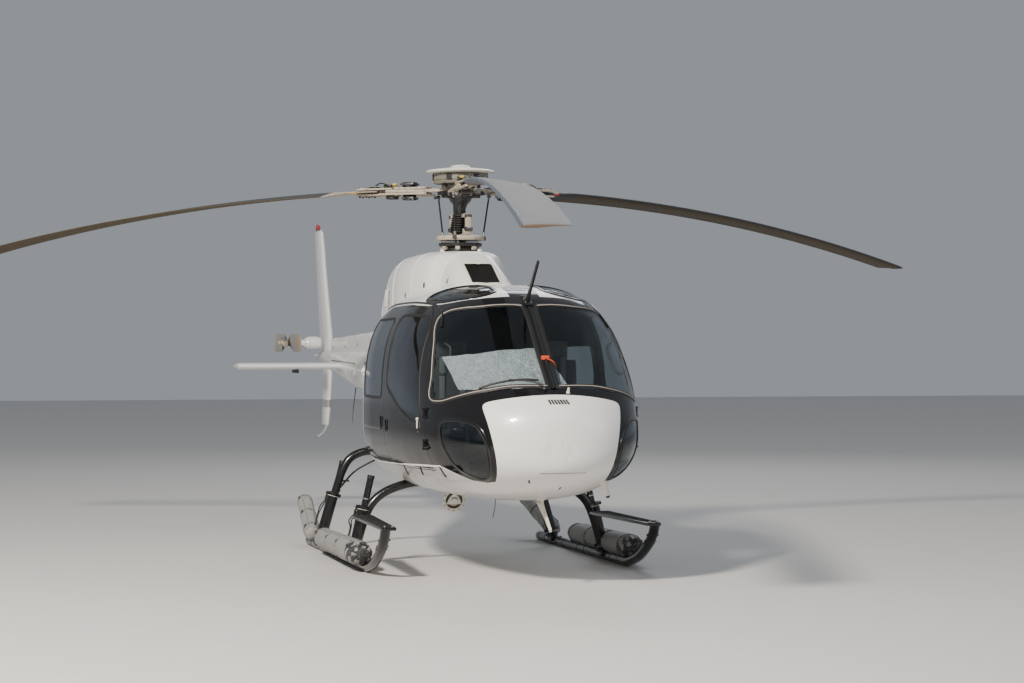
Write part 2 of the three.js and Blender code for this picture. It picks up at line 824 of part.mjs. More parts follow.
const gearboxBlock = softBlock(-200, 200, -330, 330, 2150, GEARBOX_TOP, 80);
put("main_gearbox", cut(gearboxBlock, hullProud, mastSeat), "dark");

// Tail boom, hollow with an open front end
const BOOM = [
  { y: 2702, r: 268, z: 1440 },
  { y: 3400, r: 240, z: 1464 },
  { y: 4600, r: 192, z: 1510 },
  { y: 5800, r: 132, z: 1572 },
  { y: 6950, r: 68, z: 1638 },
];
function boomSolid(inset) {
  const last = BOOM.length - 1;
  return loft(
    BOOM.map((s, k) => {
      const y = k === 0 ? s.y - (inset ? 10 : 0) : k === last ? s.y - inset * 3 : s.y;
      const r = s.r - inset;
      return ring(y, r * 0.94, s.z - r, s.z, s.z + r, 2, 2, 20);
    }),
  );
}
function boomCone(grow) {
  const g = grow;
  const profile = [
    [0, -g], [66 + g, -g], [56 + g, 160], [40 + g, 300], [18 + g, 370], [18 + g, 630 + g], [0, 636 + g],
  ];
  return turned(profile, [0, 6949, 1638], [0, 1, 0], 12);
}
const boom = join(cut(boomSolid(0), boomSolid(9)), boomCone(0));
const boomRoom = join(boomSolid(-SLIT), boomCone(SLIT));

function finShape(rows, halfThick) {
  return loft(
    rows.map(({ z, le, te, k = 1 }) => {
      const c = te - le;
      const t = halfThick * k;
      return [
        [0, le, z], [t * 0.8, le + c * 0.12, z], [t, le + c * 0.3, z],
        [t * 0.7, le + c * 0.65, z], [0.12 * t, te, z], [-0.12 * t, te, z],
        [-t * 0.7, le + c * 0.65, z], [-t, le + c * 0.3, z], [-t * 0.8, le + c * 0.12, z],
      ];
    }),
  );
}
const upperFin = finShape(
  [
    { z: 1650, le: 6390, te: 7140, k: 1 },
    { z: 1870, le: 6510, te: 7240, k: 0.95 },
    { z: 2600, le: 6890, te: 7470, k: 0.8 },
    { z: 3040, le: 7110, te: 7590, k: 0.7 },
    { z: 3092, le: 7190, te: 7594, k: 0.5 },
  ],
  48,
);
const lowerFin = finShape(
  [
    { z: 850, le: 6720, te: 7115, k: 0.6 },
    { z: 1000, le: 6650, te: 7100, k: 0.8 },
    { z: 1640, le: 6450, te: 7000, k: 1 },
  ],
  42,
);
const STABILISER_Z = 1534;
const stabiliser = loft(
  [-1265, -1240, -200, 200, 1240, 1265].map((x) => {
    const k = Math.abs(x) > 1250 ? 0.35 : 1;
    const c = 460;
    const le = 4950 + (Math.abs(x) > 1250 ? 25 : 0);
    return [
      [x, le, STABILISER_Z], [x, le + c * 0.1, STABILISER_Z + 26 * k], [x, le + c * 0.35, STABILISER_Z + 36 * k],
      [x, le + c * 0.7, STABILISER_Z + 22 * k], [x, le + c, STABILISER_Z + 3 * k], [x, le + c, STABILISER_Z - 3 * k],
      [x, le + c * 0.7, STABILISER_Z - 22 * k], [x, le + c * 0.35, STABILISER_Z - 36 * k], [x, le + c * 0.1, STABILISER_Z - 26 * k],
    ];
  }),
);
put("tail_boom", boom, "white");
const stabHalf = cut(stabiliser, boomSolid(-SLIT));
BOTH_SIDES.forEach((side) => {
  const half = stabHalf.intersect(block(side < 0 ? -1400 : 60, side < 0 ? -60 : 1400, 4000, 6000, 1400, 1600));
  put("stabiliser_" + SIDE_WORDS[side], biggest(half), "white");
});
const shaftCover = loft(
  [
    { y: 2250, w: 82, zt: 1937 },
    { y: 2700, w: 80, zt: 1925 },
    { y: 4300, w: 74, zt: 1884 },
    { y: 6200, w: 66, zt: 1832 },
  ].map((s) => ring(s.y, s.w, s.zt - 260, s.zt - 60, s.zt, 3, 6, 16)),
);
const coverShell = biggest(cut(shaftCover, boomSolid(-SLIT), hullProud));
put("drive_shaft_cover", coverShell, "white");
put("upper_fin", biggest(cut(upperFin, boomRoom)), "white");
put("lower_fin", biggest(cut(lowerFin, boomRoom)), "white");
const TAIL_SHAFT_RADIUS = 22;
const TAIL_GEARBOX_START = -95;
const TAIL_GEARBOX = [[0, 0], [62, 0], [70, 30], [70, 150], [52, 190], [0, 190]];
const onTailAxis = (x) => [x, TAIL_ROTOR_Y, TAIL_ROTOR_Z];
const tailGearbox = join(
  turned(TAIL_GEARBOX, onTailAxis(TAIL_GEARBOX_START), [1, 0, 0], 16),
  rod(onTailAxis(TAIL_GEARBOX_START + 5), onTailAxis(TAIL_ROTOR_X + 110), 34, 28, 12),
);
const tailShaftSeat = rod(
  onTailAxis(TAIL_ROTOR_X + 60),
  onTailAxis(TAIL_ROTOR_X + 175),
  TAIL_SHAFT_RADIUS + 0.9,
  TAIL_SHAFT_RADIUS + 0.9,
  16,
);
const upperFinRoom = join(
  ...[[SLIT, 0, 0], [-SLIT, 0, 0], [0, SLIT, 0], [0, -SLIT, 0]].map((step) => upperFin.translate(step)),
);
const gearboxBody = cut(tailGearbox, boomSolid(-SLIT), upperFinRoom, shaftCover, tailShaftSeat);
put("tail_gearbox", biggest(gearboxBody), "grey");

// Tail rotor, on the starboard side
const TAIL_HUB = [[0, 0], [60, 0], [48, 22], [20, 60], [26, 74], [18, 92], [0, 98]];
const tailHub = join(
  rod(onTailAxis(TAIL_ROTOR_X + 165), onTailAxis(TAIL_ROTOR_X - 45), TAIL_SHAFT_RADIUS, TAIL_SHAFT_RADIUS, 12),
  turned(TAIL_HUB, onTailAxis(TAIL_ROTOR_X - 40), [-1, 0, 0], 14),
  block(
    TAIL_ROTOR_X - 42, TAIL_ROTOR_X + 8,
    TAIL_ROTOR_Y - 150, TAIL_ROTOR_Y + 150,
    TAIL_ROTOR_Z - 38, TAIL_ROTOR_Z + 38,
  ),
);
function tailBlade(dir) {
  const rows = [
    { r: 110, c: 72, t: 12, pitch: 12 },
    { r: 240, c: 150, t: 13, pitch: 11 },
    { r: 320, c: TAIL_ROTOR_CHORD, t: 12, pitch: 10 },
    { r: TAIL_ROTOR_RADIUS - 20, c: TAIL_ROTOR_CHORD, t: 8, pitch: 2 },
    { r: TAIL_ROTOR_RADIUS, c: 180, t: 4, pitch: 2 },
  ];
  return loft(
    rows.map(({ r, c, t, pitch }) => {
      const a = (pitch * Math.PI) / 180;
      const shape = [
        [-0.5, 0], [-0.4, 0.8], [-0.15, 1], [0.2, 0.6], [0.5, 0.1],
        [0.5, -0.1], [0.2, -0.6], [-0.15, -1], [-0.4, -0.8],
      ];
      return shape.map(([u, v]) => {
        const along = u * c;
        const x = v * t * Math.cos(a) + along * Math.sin(a);
        const z = along * Math.cos(a) - v * t * Math.sin(a);
        return [TAIL_ROTOR_X - 17 + x, TAIL_ROTOR_Y + dir * r, TAIL_ROTOR_Z + dir * z];
      });
    }),
  );
}
put("tail_rotor", join(tailHub, tailBlade(-1), tailBlade(1)), "blade");

// Main rotor
const mast = join(
  rod([0, 0, 2440], [0, 0, STAR_HEIGHT - 30], MAST_RADIUS, MAST_RADIUS, 12),
  rod([0, 0, STAR_HEIGHT - 60], [0, 0, HEAD_TOP], 110, 110, 16),
);
const starArms = BLADE_ANGLES.map((deg) => {
  const arm = prism(
    [[60, -75], [330, -62], [520, -85], [690, -85], [690, 85], [520, 85], [330, 62], [60, 75]],
    [1, 0, 0], [0, 1, 0], [0, 0, 1], -14, 14,
  );
  return arm.rotate([0, 0, deg]).translate([0, 0, STAR_HEIGHT]);
});
const sleeves = BLADE_ANGLES.map((deg) => {
  const plates = [24, -24].map((z) => prism(
    [[300, -78], [560, -92], [800, -62], [1000, -50], [1000, 50], [800, 62], [560, 92], [300, 78]],
    [1, 0, 0], [0, 1, 0], [0, 0, 1], z - 8.5, z + 8.5,
  ));
  const damper = softBlock(420, 560, -70, 70, -10, 70, 20);
  const under = softBlock(420, 560, -60, 60, -70, 10, 20);
  const sleeve = join(...plates, damper, under, block(700, 760, -60, 60, -30, 30));
  return sleeve.rotate([0, 0, deg]).translate([0, 0, STAR_HEIGHT]);
});
put("rotor_head", join(mast, ...starArms, ...sleeves), "beige");
const droopAt = (r) => {
  const t = Math.max(0, (r - BLADE_ROOT) / (ROTOR_RADIUS - BLADE_ROOT));
  return -BLADE_DROOP * t * t - 10 * t;
};
function bladeSolid() {
  const stations = [765, 900, 1060, 1250, 1900, 2800, 3700, 4500, 5250, ROTOR_RADIUS];
  const shape = [
    [-0.25, 0], [-0.22, 0.55], [-0.1, 0.95], [0.08, 1], [0.35, 0.68], [0.75, 0.12],
    [0.75, -0.08], [0.35, -0.35], [0.08, -0.75], [-0.1, -0.7], [-0.22, -0.45],
  ];
  return loft(
    stations.map((r) => {
      const grow = Math.min(1, Math.max(0, (r - 900) / 350));
      const c = 140 + (ROTOR_CHORD - 140) * grow;
      const t = 14 + 7 * grow;
      const a = ((9 - 11 * ((r - BLADE_ROOT) / (ROTOR_RADIUS - BLADE_ROOT))) * Math.PI) / 180;
      const p = r < 1100 ? 0 : a;
      const tip = r === ROTOR_RADIUS ? 0.55 : 1;
      return shape.map(([u, v]) => {
        const along = u * c;
        const up = v * t * tip;
        const y = along * Math.cos(p) + up * Math.sin(p);
        const z = -along * Math.sin(p) + up * Math.cos(p);
        return [r, y, z + droopAt(r)];
      });
    }),
  );
}
const sleeveRoom = join(
  prism([[740, -72], [1006, -60], [1006, 60], [740, 72]], [1, 0, 0], [0, 1, 0], [0, 0, 1], 14.6, 34),
  prism([[740, -72], [1006, -60], [1006, 60], [740, 72]], [1, 0, 0], [0, 1, 0], [0, 0, 1], -34, -14.6),
);
BLADE_ANGLES.forEach((deg, i) => {
  const b = cut(bladeSolid(), sleeveRoom);
  put("rotor_blade_" + (i + 1), biggest(b).rotate([0, 0, deg]).translate([0, 0, STAR_HEIGHT]), "blade");
});
const cap = turned(
  [[0, 0], [232, 0], [236, 50], [236, 90], [294, 97], [302, 108], [284, 120], [98, 142], [62, 158], [0, 166]],
  [0, 0, HEAD_TOP + SLIT], [0, 0, 1], 24,
);
put("rotor_cap", cap, "white");
const swash = join(
  cut(
    turned([[0, 0], [205, 0], [212, 18], [205, 48], [0, 48]], [0, 0, 2664], [0, 0, 1], 24),
    rod([0, 0, 2600], [0, 0, 2760], MAST_RADIUS + SLIT, MAST_RADIUS + SLIT, 12),
  ),
  ...BLADE_ANGLES.map((deg) => {
    const a = ((deg - 18) * Math.PI) / 180;
    const c = Math.cos(a);
    const s = Math.sin(a);
    return join(
      rod([c * 200, s * 200, 2690], [c * 262, s * 262, STAR_HEIGHT - 50], 11, 11, 8),
      rod([c * 150, s * 150, 2690], [c * 225, s * 225, 2690], 20, 20, 8),
    );
  }),
);
put("swashplate_rotating", swash, "beige");
const fixedPlate = cut(
  join(
    turned([[0, 0], [150, 0], [150, 90], [185, 100], [190, 130], [0, 130]], [0, 0, 2518], [0, 0, 1], 24),
    turned([[0, 0], [158, 0], [162, 40], [158, 60], [0, 60]], [0, 0, GEARBOX_TOP + SLIT], [0, 0, 1], 24),
  ),
  rod([0, 0, 2400], [0, 0, 2760], 54, 54, 16),
  cowlSolid(COWL_FRONT, -SLIT).intersect(block(-900, 900, -500, 500, 2540, 2600)).subtract(mastHole),
);
put("swashplate_fixed", fixedPlate, "dark");

// Skid gear and float bags
put("cross_tube_front", frontTube, "black");
put("cross_tube_rear", rearTube, "black");
BOTH_SIDES.forEach((side) => {
  const word = SIDE_WORDS[side];
  const skid = cut(join(skidTube(side, 0), step(side)), frontTubeRoom, rearTubeRoom);
  put("skid_" + word, biggest(skid), "dark");
  const room = join(skidTube(side, SLIT), frontTubeRoom, rearTubeRoom);
  put("float_bag_front_" + word, biggest(cut(bag(side, FRONT_BAG), room)), "fabric");
  put("float_bag_rear_" + word, biggest(cut(bag(side, REAR_BAG), room)), "fabric");
});

// Cabin furniture
BOTH_SIDES.forEach((side) => {
  const x = side * 420;
  const seat = join(
    softBlock(x - 220, x + 220, -1960, -1500, 960, 1080, 60),
    softBlock(x - 60, x + 60, -1900, -1560, FLOOR_TOP + SLIT, 965, 20),
    softBlock(x - 215, x + 215, -1530, -1420, 1000, 1640, 50),
    softBlock(x - 130, x + 130, -1520, -1440, 1630, 1790, 30),
  );
  put("seat_front_" + SIDE_WORDS[side], seat, "fabric");
});
const bench = join(
  softBlock(-720, 720, -330, 170, 900, 1030, 60),
  softBlock(-700, 700, 90, 200, 1000, 1640, 40),
  softBlock(-660, 660, -200, 150, FLOOR_TOP + SLIT, 905, 30),
);
put("rear_bench", bench, "fabric");
const panel = join(
  softBlock(-190, 190, -2780, -2560, 1090, 1400, 60),
  softBlock(-110, 110, -2740, -2250, FLOOR_TOP + SLIT, 1100, 40),
);
put("instrument_console", biggest(cut(panel, hull(SKIN + 4).subtract(hullLining))), "dark");

// Fittings outside
const plate = cut(block(-110, 110, -110, 110, GROUND_TO_PLATE, 535), hullProud);
put("cargo_hook_plate", plate, "steel");
const lamp = turned([[0, 0], [82, 0], [92, 12], [92, 90], [0, 90]], [-330, -1150, 458], [0, 0, 1], 20);
put("landing_lamp", biggest(cut(lamp, hullProud)), "grey");

// Wire cutters: blades on the middle line, over the windscreen and under the nose
const UPPER_CUTTER = [[-2250, 2090], [-2400, 2060], [-2672, 2395], [-2640, 2412], [-2560, 2360]];
const LOWER_CUTTER = [[-2560, 640], [-2800, 640], [-2795, 545], [-3030, 378], [-3005, 352], [-2720, 500], [-2600, 560]];
const CUTTER_HALF = 9;
[["upper", UPPER_CUTTER], ["lower", LOWER_CUTTER]].forEach(([word, outline]) => {
  const blade = prism(outline, [0, 1, 0], [0, 0, 1], [1, 0, 0], -CUTTER_HALF, CUTTER_HALF);
  put("wire_cutter_" + word, biggest(cut(blade, hullProud)), "dark");
});

// Air intake grille in the mouth of the gearbox cowling
const GRILLE_HALF = 121 - SLIT;
const GRILLE_FACE = [[-957, 2279], [-945, 2276], [-642, 2437], [-652, 2440]];
const grilleSlots = [-96, -48, 0, 48, 96].flatMap((x) =>
  [2302, 2344, 2386].map((z) => block(x - 20, x + 20, -1100, -500, z, z + 34)),
);
const grille = cut(
  prism(GRILLE_FACE, [0, 1, 0], [0, 0, 1], [1, 0, 0], -GRILLE_HALF, GRILLE_HALF),
  ...grilleSlots,
);
put("intake_grille", biggest(grille), "dark");

// Bow under the lower fin and the lamp on the upper one
const bow = tube([[0, 6780, 872], [0, 6850, 815], [0, 7080, 745], [0, 7440, 690]], 11, 6, 10);
put("tail_bow", biggest(cut(bow, lowerFin)), "white");
const beaconLine = [[0, 0], [30, 0], [30, 14], [24, 18], [24, 52], [16, 66], [0, 70]];
const beaconSeat = [0, 7400, 3092 + SLIT];
put("beacon", turned(beaconLine, beaconSeat, [0, 0, 1], 12), "dark");

export default root;
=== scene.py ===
import math

import bmesh
import bpy
import numpy as np
from bpy.props import FloatProperty, FloatVectorProperty, IntProperty, PointerProperty
from bpy.types import Operator, Panel, PropertyGroup
from mathutils import Color, Matrix, Vector, noise


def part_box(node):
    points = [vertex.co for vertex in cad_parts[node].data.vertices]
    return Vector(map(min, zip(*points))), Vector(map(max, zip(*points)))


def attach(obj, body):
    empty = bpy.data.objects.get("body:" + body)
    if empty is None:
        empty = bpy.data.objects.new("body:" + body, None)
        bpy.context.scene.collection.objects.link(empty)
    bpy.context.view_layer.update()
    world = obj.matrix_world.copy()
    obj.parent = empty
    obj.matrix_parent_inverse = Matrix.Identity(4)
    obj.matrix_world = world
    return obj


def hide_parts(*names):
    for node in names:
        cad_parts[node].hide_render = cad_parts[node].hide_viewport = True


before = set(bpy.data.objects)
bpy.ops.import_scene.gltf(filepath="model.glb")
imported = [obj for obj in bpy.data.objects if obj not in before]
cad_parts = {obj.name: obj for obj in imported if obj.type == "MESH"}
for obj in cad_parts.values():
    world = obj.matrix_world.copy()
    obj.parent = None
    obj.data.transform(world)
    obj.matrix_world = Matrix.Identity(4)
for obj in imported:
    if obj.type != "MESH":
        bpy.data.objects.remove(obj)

bl_info = {
    "name": "Light helicopter on high skids",
    "version": (1, 0, 0),
    "blender": (4, 5, 0),
    "location": "3D View > Sidebar > Helicopter",
    "description": "Dresses a light single engine helicopter: skins, glass, rotors, gear, cabin and fittings",
    "category": "Object",
}

# Heights in this file are from the height datum, in metres. The frame's origin lies PLATE over it, the ground
# under it.
PLATE = 0.488
GROUND = -0.065
SIDES = (("starboard", -1), ("port", 1))
# Thickness of the fuselage's skin and of a pane
SKIN = 0.026
PANE = 0.006

# Fuselage stations: y, half width, belly, widest height, roof, roundness above it and below it
HULL_STATIONS = (
    (-3.335, 0.040, 0.930, 1.010, 1.080, 2.0, 2.0),
    (-3.318, 0.190, 0.850, 1.010, 1.215, 2.1, 2.1),
    (-3.270, 0.330, 0.790, 1.010, 1.300, 2.2, 2.2),
    (-3.180, 0.472, 0.728, 1.020, 1.380, 2.3, 2.2),
    (-3.060, 0.595, 0.672, 1.035, 1.475, 2.3, 2.2),
    (-2.900, 0.696, 0.626, 1.050, 1.610, 2.35, 2.2),
    (-2.720, 0.768, 0.592, 1.070, 1.775, 2.45, 2.2),
    (-2.520, 0.824, 0.568, 1.085, 1.950, 2.5, 2.25),
    (-2.320, 0.858, 0.553, 1.100, 2.098, 2.65, 2.3),
    (-2.100, 0.884, 0.545, 1.110, 2.185, 2.85, 2.45),
    (-1.800, 0.906, 0.535, 1.120, 2.228, 3.1, 2.6),
    (-1.300, 0.922, 0.528, 1.130, 2.248, 3.4, 2.6),
    (-0.700, 0.920, 0.526, 1.130, 2.242, 3.4, 2.6),
    (-0.100, 0.872, 0.530, 1.140, 2.207, 3.3, 2.6),
    (0.400, 0.784, 0.556, 1.170, 2.130, 3.1, 2.6),
    (0.900, 0.690, 0.625, 1.210, 2.050, 2.9, 2.5),
    (1.400, 0.588, 0.765, 1.280, 1.970, 2.6, 2.4),
    (1.900, 0.478, 0.930, 1.360, 1.890, 2.4, 2.3),
    (2.350, 0.372, 1.080, 1.410, 1.810, 2.2, 2.2),
    (2.700, 0.290, 1.165, 1.440, 1.740, 2.1, 2.1),
)
NOSE_Y = HULL_STATIONS[0][0]

# Cowling stations over the gearbox and the engine: y, half width, top, roundness
COWL_FRONT = (
    (-1.010, 0.300, 2.255, 3.0),
    (-0.960, 0.305, 2.290, 3.2),
    (-0.700, 0.292, 2.430, 3.4),
    (-0.470, 0.285, 2.535, 3.4),
    (-0.420, 0.300, 2.555, 3.2),
    (-0.200, 0.380, 2.565, 3.0),
    (0.150, 0.440, 2.565, 2.9),
    (0.500, 0.462, 2.560, 2.8),
    (0.740, 0.465, 2.552, 2.8),
)
COWL_REAR = (
    (0.746, 0.465, 2.552, 2.8),
    (1.050, 0.455, 2.540, 2.7),
    (1.400, 0.425, 2.505, 2.6),
    (1.750, 0.375, 2.440, 2.5),
    (2.050, 0.310, 2.350, 2.4),
    (2.200, 0.262, 2.290, 2.3),
)
COWL_LOW, COWL_WIDEST, COWL_WALL = 1.500, 1.900, 0.012


def at(x, y, z):
    """A point given by its height over the datum."""
    return Vector((x, y, z - PLATE))


# Sizes and colours that a user may change


def length(name, description, default):
    return FloatProperty(name=name, description=description, default=default, unit="LENGTH")


def colour(name, description, default):
    return FloatVectorProperty(name=name, description=description, subtype="COLOR", default=default, min=0, max=1)


class HelicopterSizes(PropertyGroup):
    rotor_radius: length("Rotor radius", "Blade tip to mast", 5.345)
    rotor_chord: length("Rotor chord", "Blade width", 0.350)
    blade_droop: length("Blade droop", "How far a blade's tip hangs", 0.570)
    tail_rotor_radius: length("Tail rotor radius", "Tip to centre", 0.930)
    seal_width: length("Seal width", "Bead round the panes", 0.012)
    rivet_gap: length("Rivet gap", "Distance between rivets", 0.045)
    bag_lashings: IntProperty(name="Bag lashings", description="Lashings round each front float bag", default=3)


class HelicopterPaint(PropertyGroup):
    white: colour("White paint", "Belly, nose, roof, boom and fins", (0.80, 0.79, 0.765))
    black: colour("Black paint", "Band round the glass and doors", (0.0065, 0.0065, 0.0075))
    beige: colour("Rotor head beige", "Star, sleeves and swashplate", (0.42, 0.36, 0.28))
    blade: colour("Blade grey", "Near blade", (0.150, 0.152, 0.165))
    fabric: colour("Float bag cloth", "Coated cloth of the bags", (0.285, 0.282, 0.268))
    glass_tint: colour("Glass tint", "Light that the windscreen lets through", (0.88, 0.91, 0.91))


def sizes():
    return bpy.context.scene.helicopter_sizes


def paint():
    return bpy.context.scene.helicopter_paint


# Forms with stations along Y


class Curve:
    """Values along a line that never overshoot their stations."""

    def __init__(self, places, rows):
        self.place = np.array(places, float)
        self.rows = np.array(rows, float).reshape(len(self.place), -1)
        step = np.diff(self.place)[:, None]
        rise = np.diff(self.rows, axis=0) / step
        same = rise[:-1] * rise[1:] > 0
        w1 = 2 * step[1:] + step[:-1]
        w2 = step[1:] + 2 * step[:-1]
        with np.errstate(divide="ignore", invalid="ignore"):
            inner = np.where(same, (w1 + w2) / (w1 / rise[:-1] + w2 / rise[1:]), 0)
        self.slope = np.vstack([rise[:1], np.nan_to_num(inner), rise[-1:]])

    def __call__(self, place):
        t = np.clip(np.asarray(place, float), self.place[0], self.place[-1])
        k = np.clip(np.searchsorted(self.place, t, "right") - 1, 0, len(self.place) - 2)
        h = (self.place[k + 1] - self.place[k])[..., None]
        u = (t - self.place[k])[..., None] / h
        a, b = self.rows[k], self.rows[k + 1]
        p, q = self.slope[k] * h, self.slope[k + 1] * h
        made = a + u * (p + u * (3 * (b - a) - 2 * p - q + u * (p + q - 2 * (b - a))))
        return np.moveaxis(made, -1, 0)


class Form:
    """A closed form through stations along Y, each a section that is rounder or squarer above and below."""

    def __init__(self, stations, nose=None):
        rows = np.array(stations, float)
        self.nose = nose
        self.curve = Curve(self.along(rows[:, 0]), rows[:, 1:])

    def along(self, y):
        y = np.asarray(y, float)
        return y if self.nose is None else np.sqrt(np.maximum(y - self.nose, 0))

    def section(self, y):
        return self.curve(self.along(y))

    def ring(self, y, turns, inset=0.0):
        """Points of one section, at the given turns round it."""
        w, low, mid, top, upper, lower = self.section(y)
        made = []
        for a in turns:
            c, s = math.cos(a), math.sin(a)
            e = upper if s >= 0 else lower
            h = top - inset - mid if s >= 0 else mid - low - inset
            x = (w - inset) * math.copysign(abs(c) ** (2 / e), c)
            made.append((x, y, mid + h * math.copysign(abs(s) ** (2 / e), s) - PLATE))
        return made

    def loop(self, y, sides, inset=0.0):
        return self.ring(y, [2 * math.pi * k / sides for k in range(sides)], inset)

    def arch(self, y, sides):
        return self.ring(y, [math.pi * k / sides for k in range(sides + 1)])

    def rings(self, places, sides, inset=0.0):
        return [self.loop(y, sides, inset) for y in places]

    def reach(self, points, inset=0.0):
        """1 on the surface, less inside it and more outside it. Heights are the frame's own."""
        p = np.asarray(points, float)
        y = p[..., 1]
        if self.nose is not None:
            y = y - inset * np.clip((-2.5 - y) / 0.835, 0, 1)
        w, low, mid, top, upper, lower = self.section(y)
        dz = p[..., 2] + PLATE - mid
        e = np.where(dz >= 0, upper, lower)
        h = np.where(dz >= 0, top - inset - mid, mid - low - inset)
        f = np.abs(p[..., 0] / np.maximum(w - inset, 0.01)) ** e + np.abs(dz / h) ** e
        return np.maximum(f, 1e-9) ** (1 / e), mid

    def onto(self, points, inset=0.0):
        """The points moved out or in to the surface, in their own plane across Y."""
        p = np.array(points, float)
        s, mid = self.reach(p, inset)
        p[..., 0] /= s
        p[..., 2] = (p[..., 2] + PLATE - mid) / s + mid - PLATE
        return p

    def normal(self, points, inset=0.0):
        p = np.asarray(points, float)
        g = np.stack([self.reach(p + d, inset)[0] - self.reach(p - d, inset)[0] for d in np.eye(3) * 3e-4], -1)
        return g / np.maximum(np.linalg.norm(g, axis=-1, keepdims=True), 1e-12)

    def edge(self, inside, outside, point):
        """Where a line leaves the form; point gives the place for a value between the two."""
        for _ in range(40):
            mid = (inside + outside) / 2
            within = self.reach(point(mid))[0] < 1
            inside, outside = (mid, outside) if within else (inside, mid)
        return inside

    def side(self, y, z):
        """Half width at a height over the datum."""
        return self.edge(0.001, 1.3, lambda x: (x, y, z - PLATE))

    def top(self, x, y):
        return self.edge(1.2, 3.0, lambda z: (x, y, z - PLATE))

    def belly(self, x, y):
        return self.edge(1.1, 0.2, lambda z: (x, y, z - PLATE))

    def front(self, x, z):
        """Y of the surface ahead of a place in the front view."""
        return self.edge(-1.5, NOSE_Y - 0.05, lambda y: (x, y, z - PLATE))


def cowl_rows(stations):
    return [(y, w, COWL_LOW, COWL_WIDEST, top, e, 8.0) for y, w, top, e in stations]


HULL = Form(HULL_STATIONS, NOSE_Y)
COWL_A_PLAIN = Form(cowl_rows(COWL_FRONT))
COWL_B_PLAIN = Form(cowl_rows(COWL_REAR))


def fuller(stations):
    """The cowling stations with squarer shoulders, and a slimmer tail end."""
    made = []
    for y, w, top, e in stations:
        share = float(np.interp(y, (-0.45, -0.10, 0.90, 1.75, 2.10), (0, 1, 1, 0.6, 0)))
        slim = float(np.interp(y, (0.50, 1.10, 1.60, 2.15), (0, 0.030, 0.050, 0)))
        made.append((y, w - slim, top + 0.006 * share, e + 2.2 * share))
    return made


COWL_A = Form(cowl_rows(fuller(COWL_FRONT)))
COWL_B = Form(cowl_rows(fuller(COWL_REAR)))


def flank(sign, y, z):
    """A point on the fuselage's side, by its height over the datum."""
    return (sign * HULL.side(y, z), y, z - PLATE)


def on_hull(x, y, z):
    return HULL.onto([(x, y, z - PLATE)])[0]


def on_nose(x, z):
    return on_hull(x, HULL.front(x, z), z)


# Shader maths


class Wire:
    """A node's socket with the signs of arithmetic."""

    def __init__(self, finish, socket):
        self.finish = finish
        self.socket = socket

    def maths(self, operation, *values, first=None):
        given = [self if first is None else first, *(self if v is None else v for v in values)]
        return self.finish.node("ShaderNodeMath", {"operation": operation}, dict(enumerate(given)))

    def __add__(self, other):
        return self.maths("ADD", other)

    __radd__ = __add__

    def __sub__(self, other):
        return self.maths("SUBTRACT", other)

    def __rsub__(self, other):
        return self.maths("SUBTRACT", None, first=other)

    def __mul__(self, other):
        return self.maths("MULTIPLY", other)

    __rmul__ = __mul__

    def __truediv__(self, other):
        return self.maths("DIVIDE", other)

    def __pow__(self, other):
        return self.maths("POWER", other)

    def __abs__(self):
        return self.maths("ABSOLUTE")

    def most(self, other):
        return self.maths("MAXIMUM", other)

    def over(self, edge, soft=0.002):
        """1 where the value is over the edge, 0 under it."""
        return ((self - edge) / soft + 0.5).clipped()

    def under(self, edge, soft=0.002):
        return 1 - self.over(edge, soft)

    def clipped(self):
        return self.finish.node("ShaderNodeClamp", {}, {"Value": self})


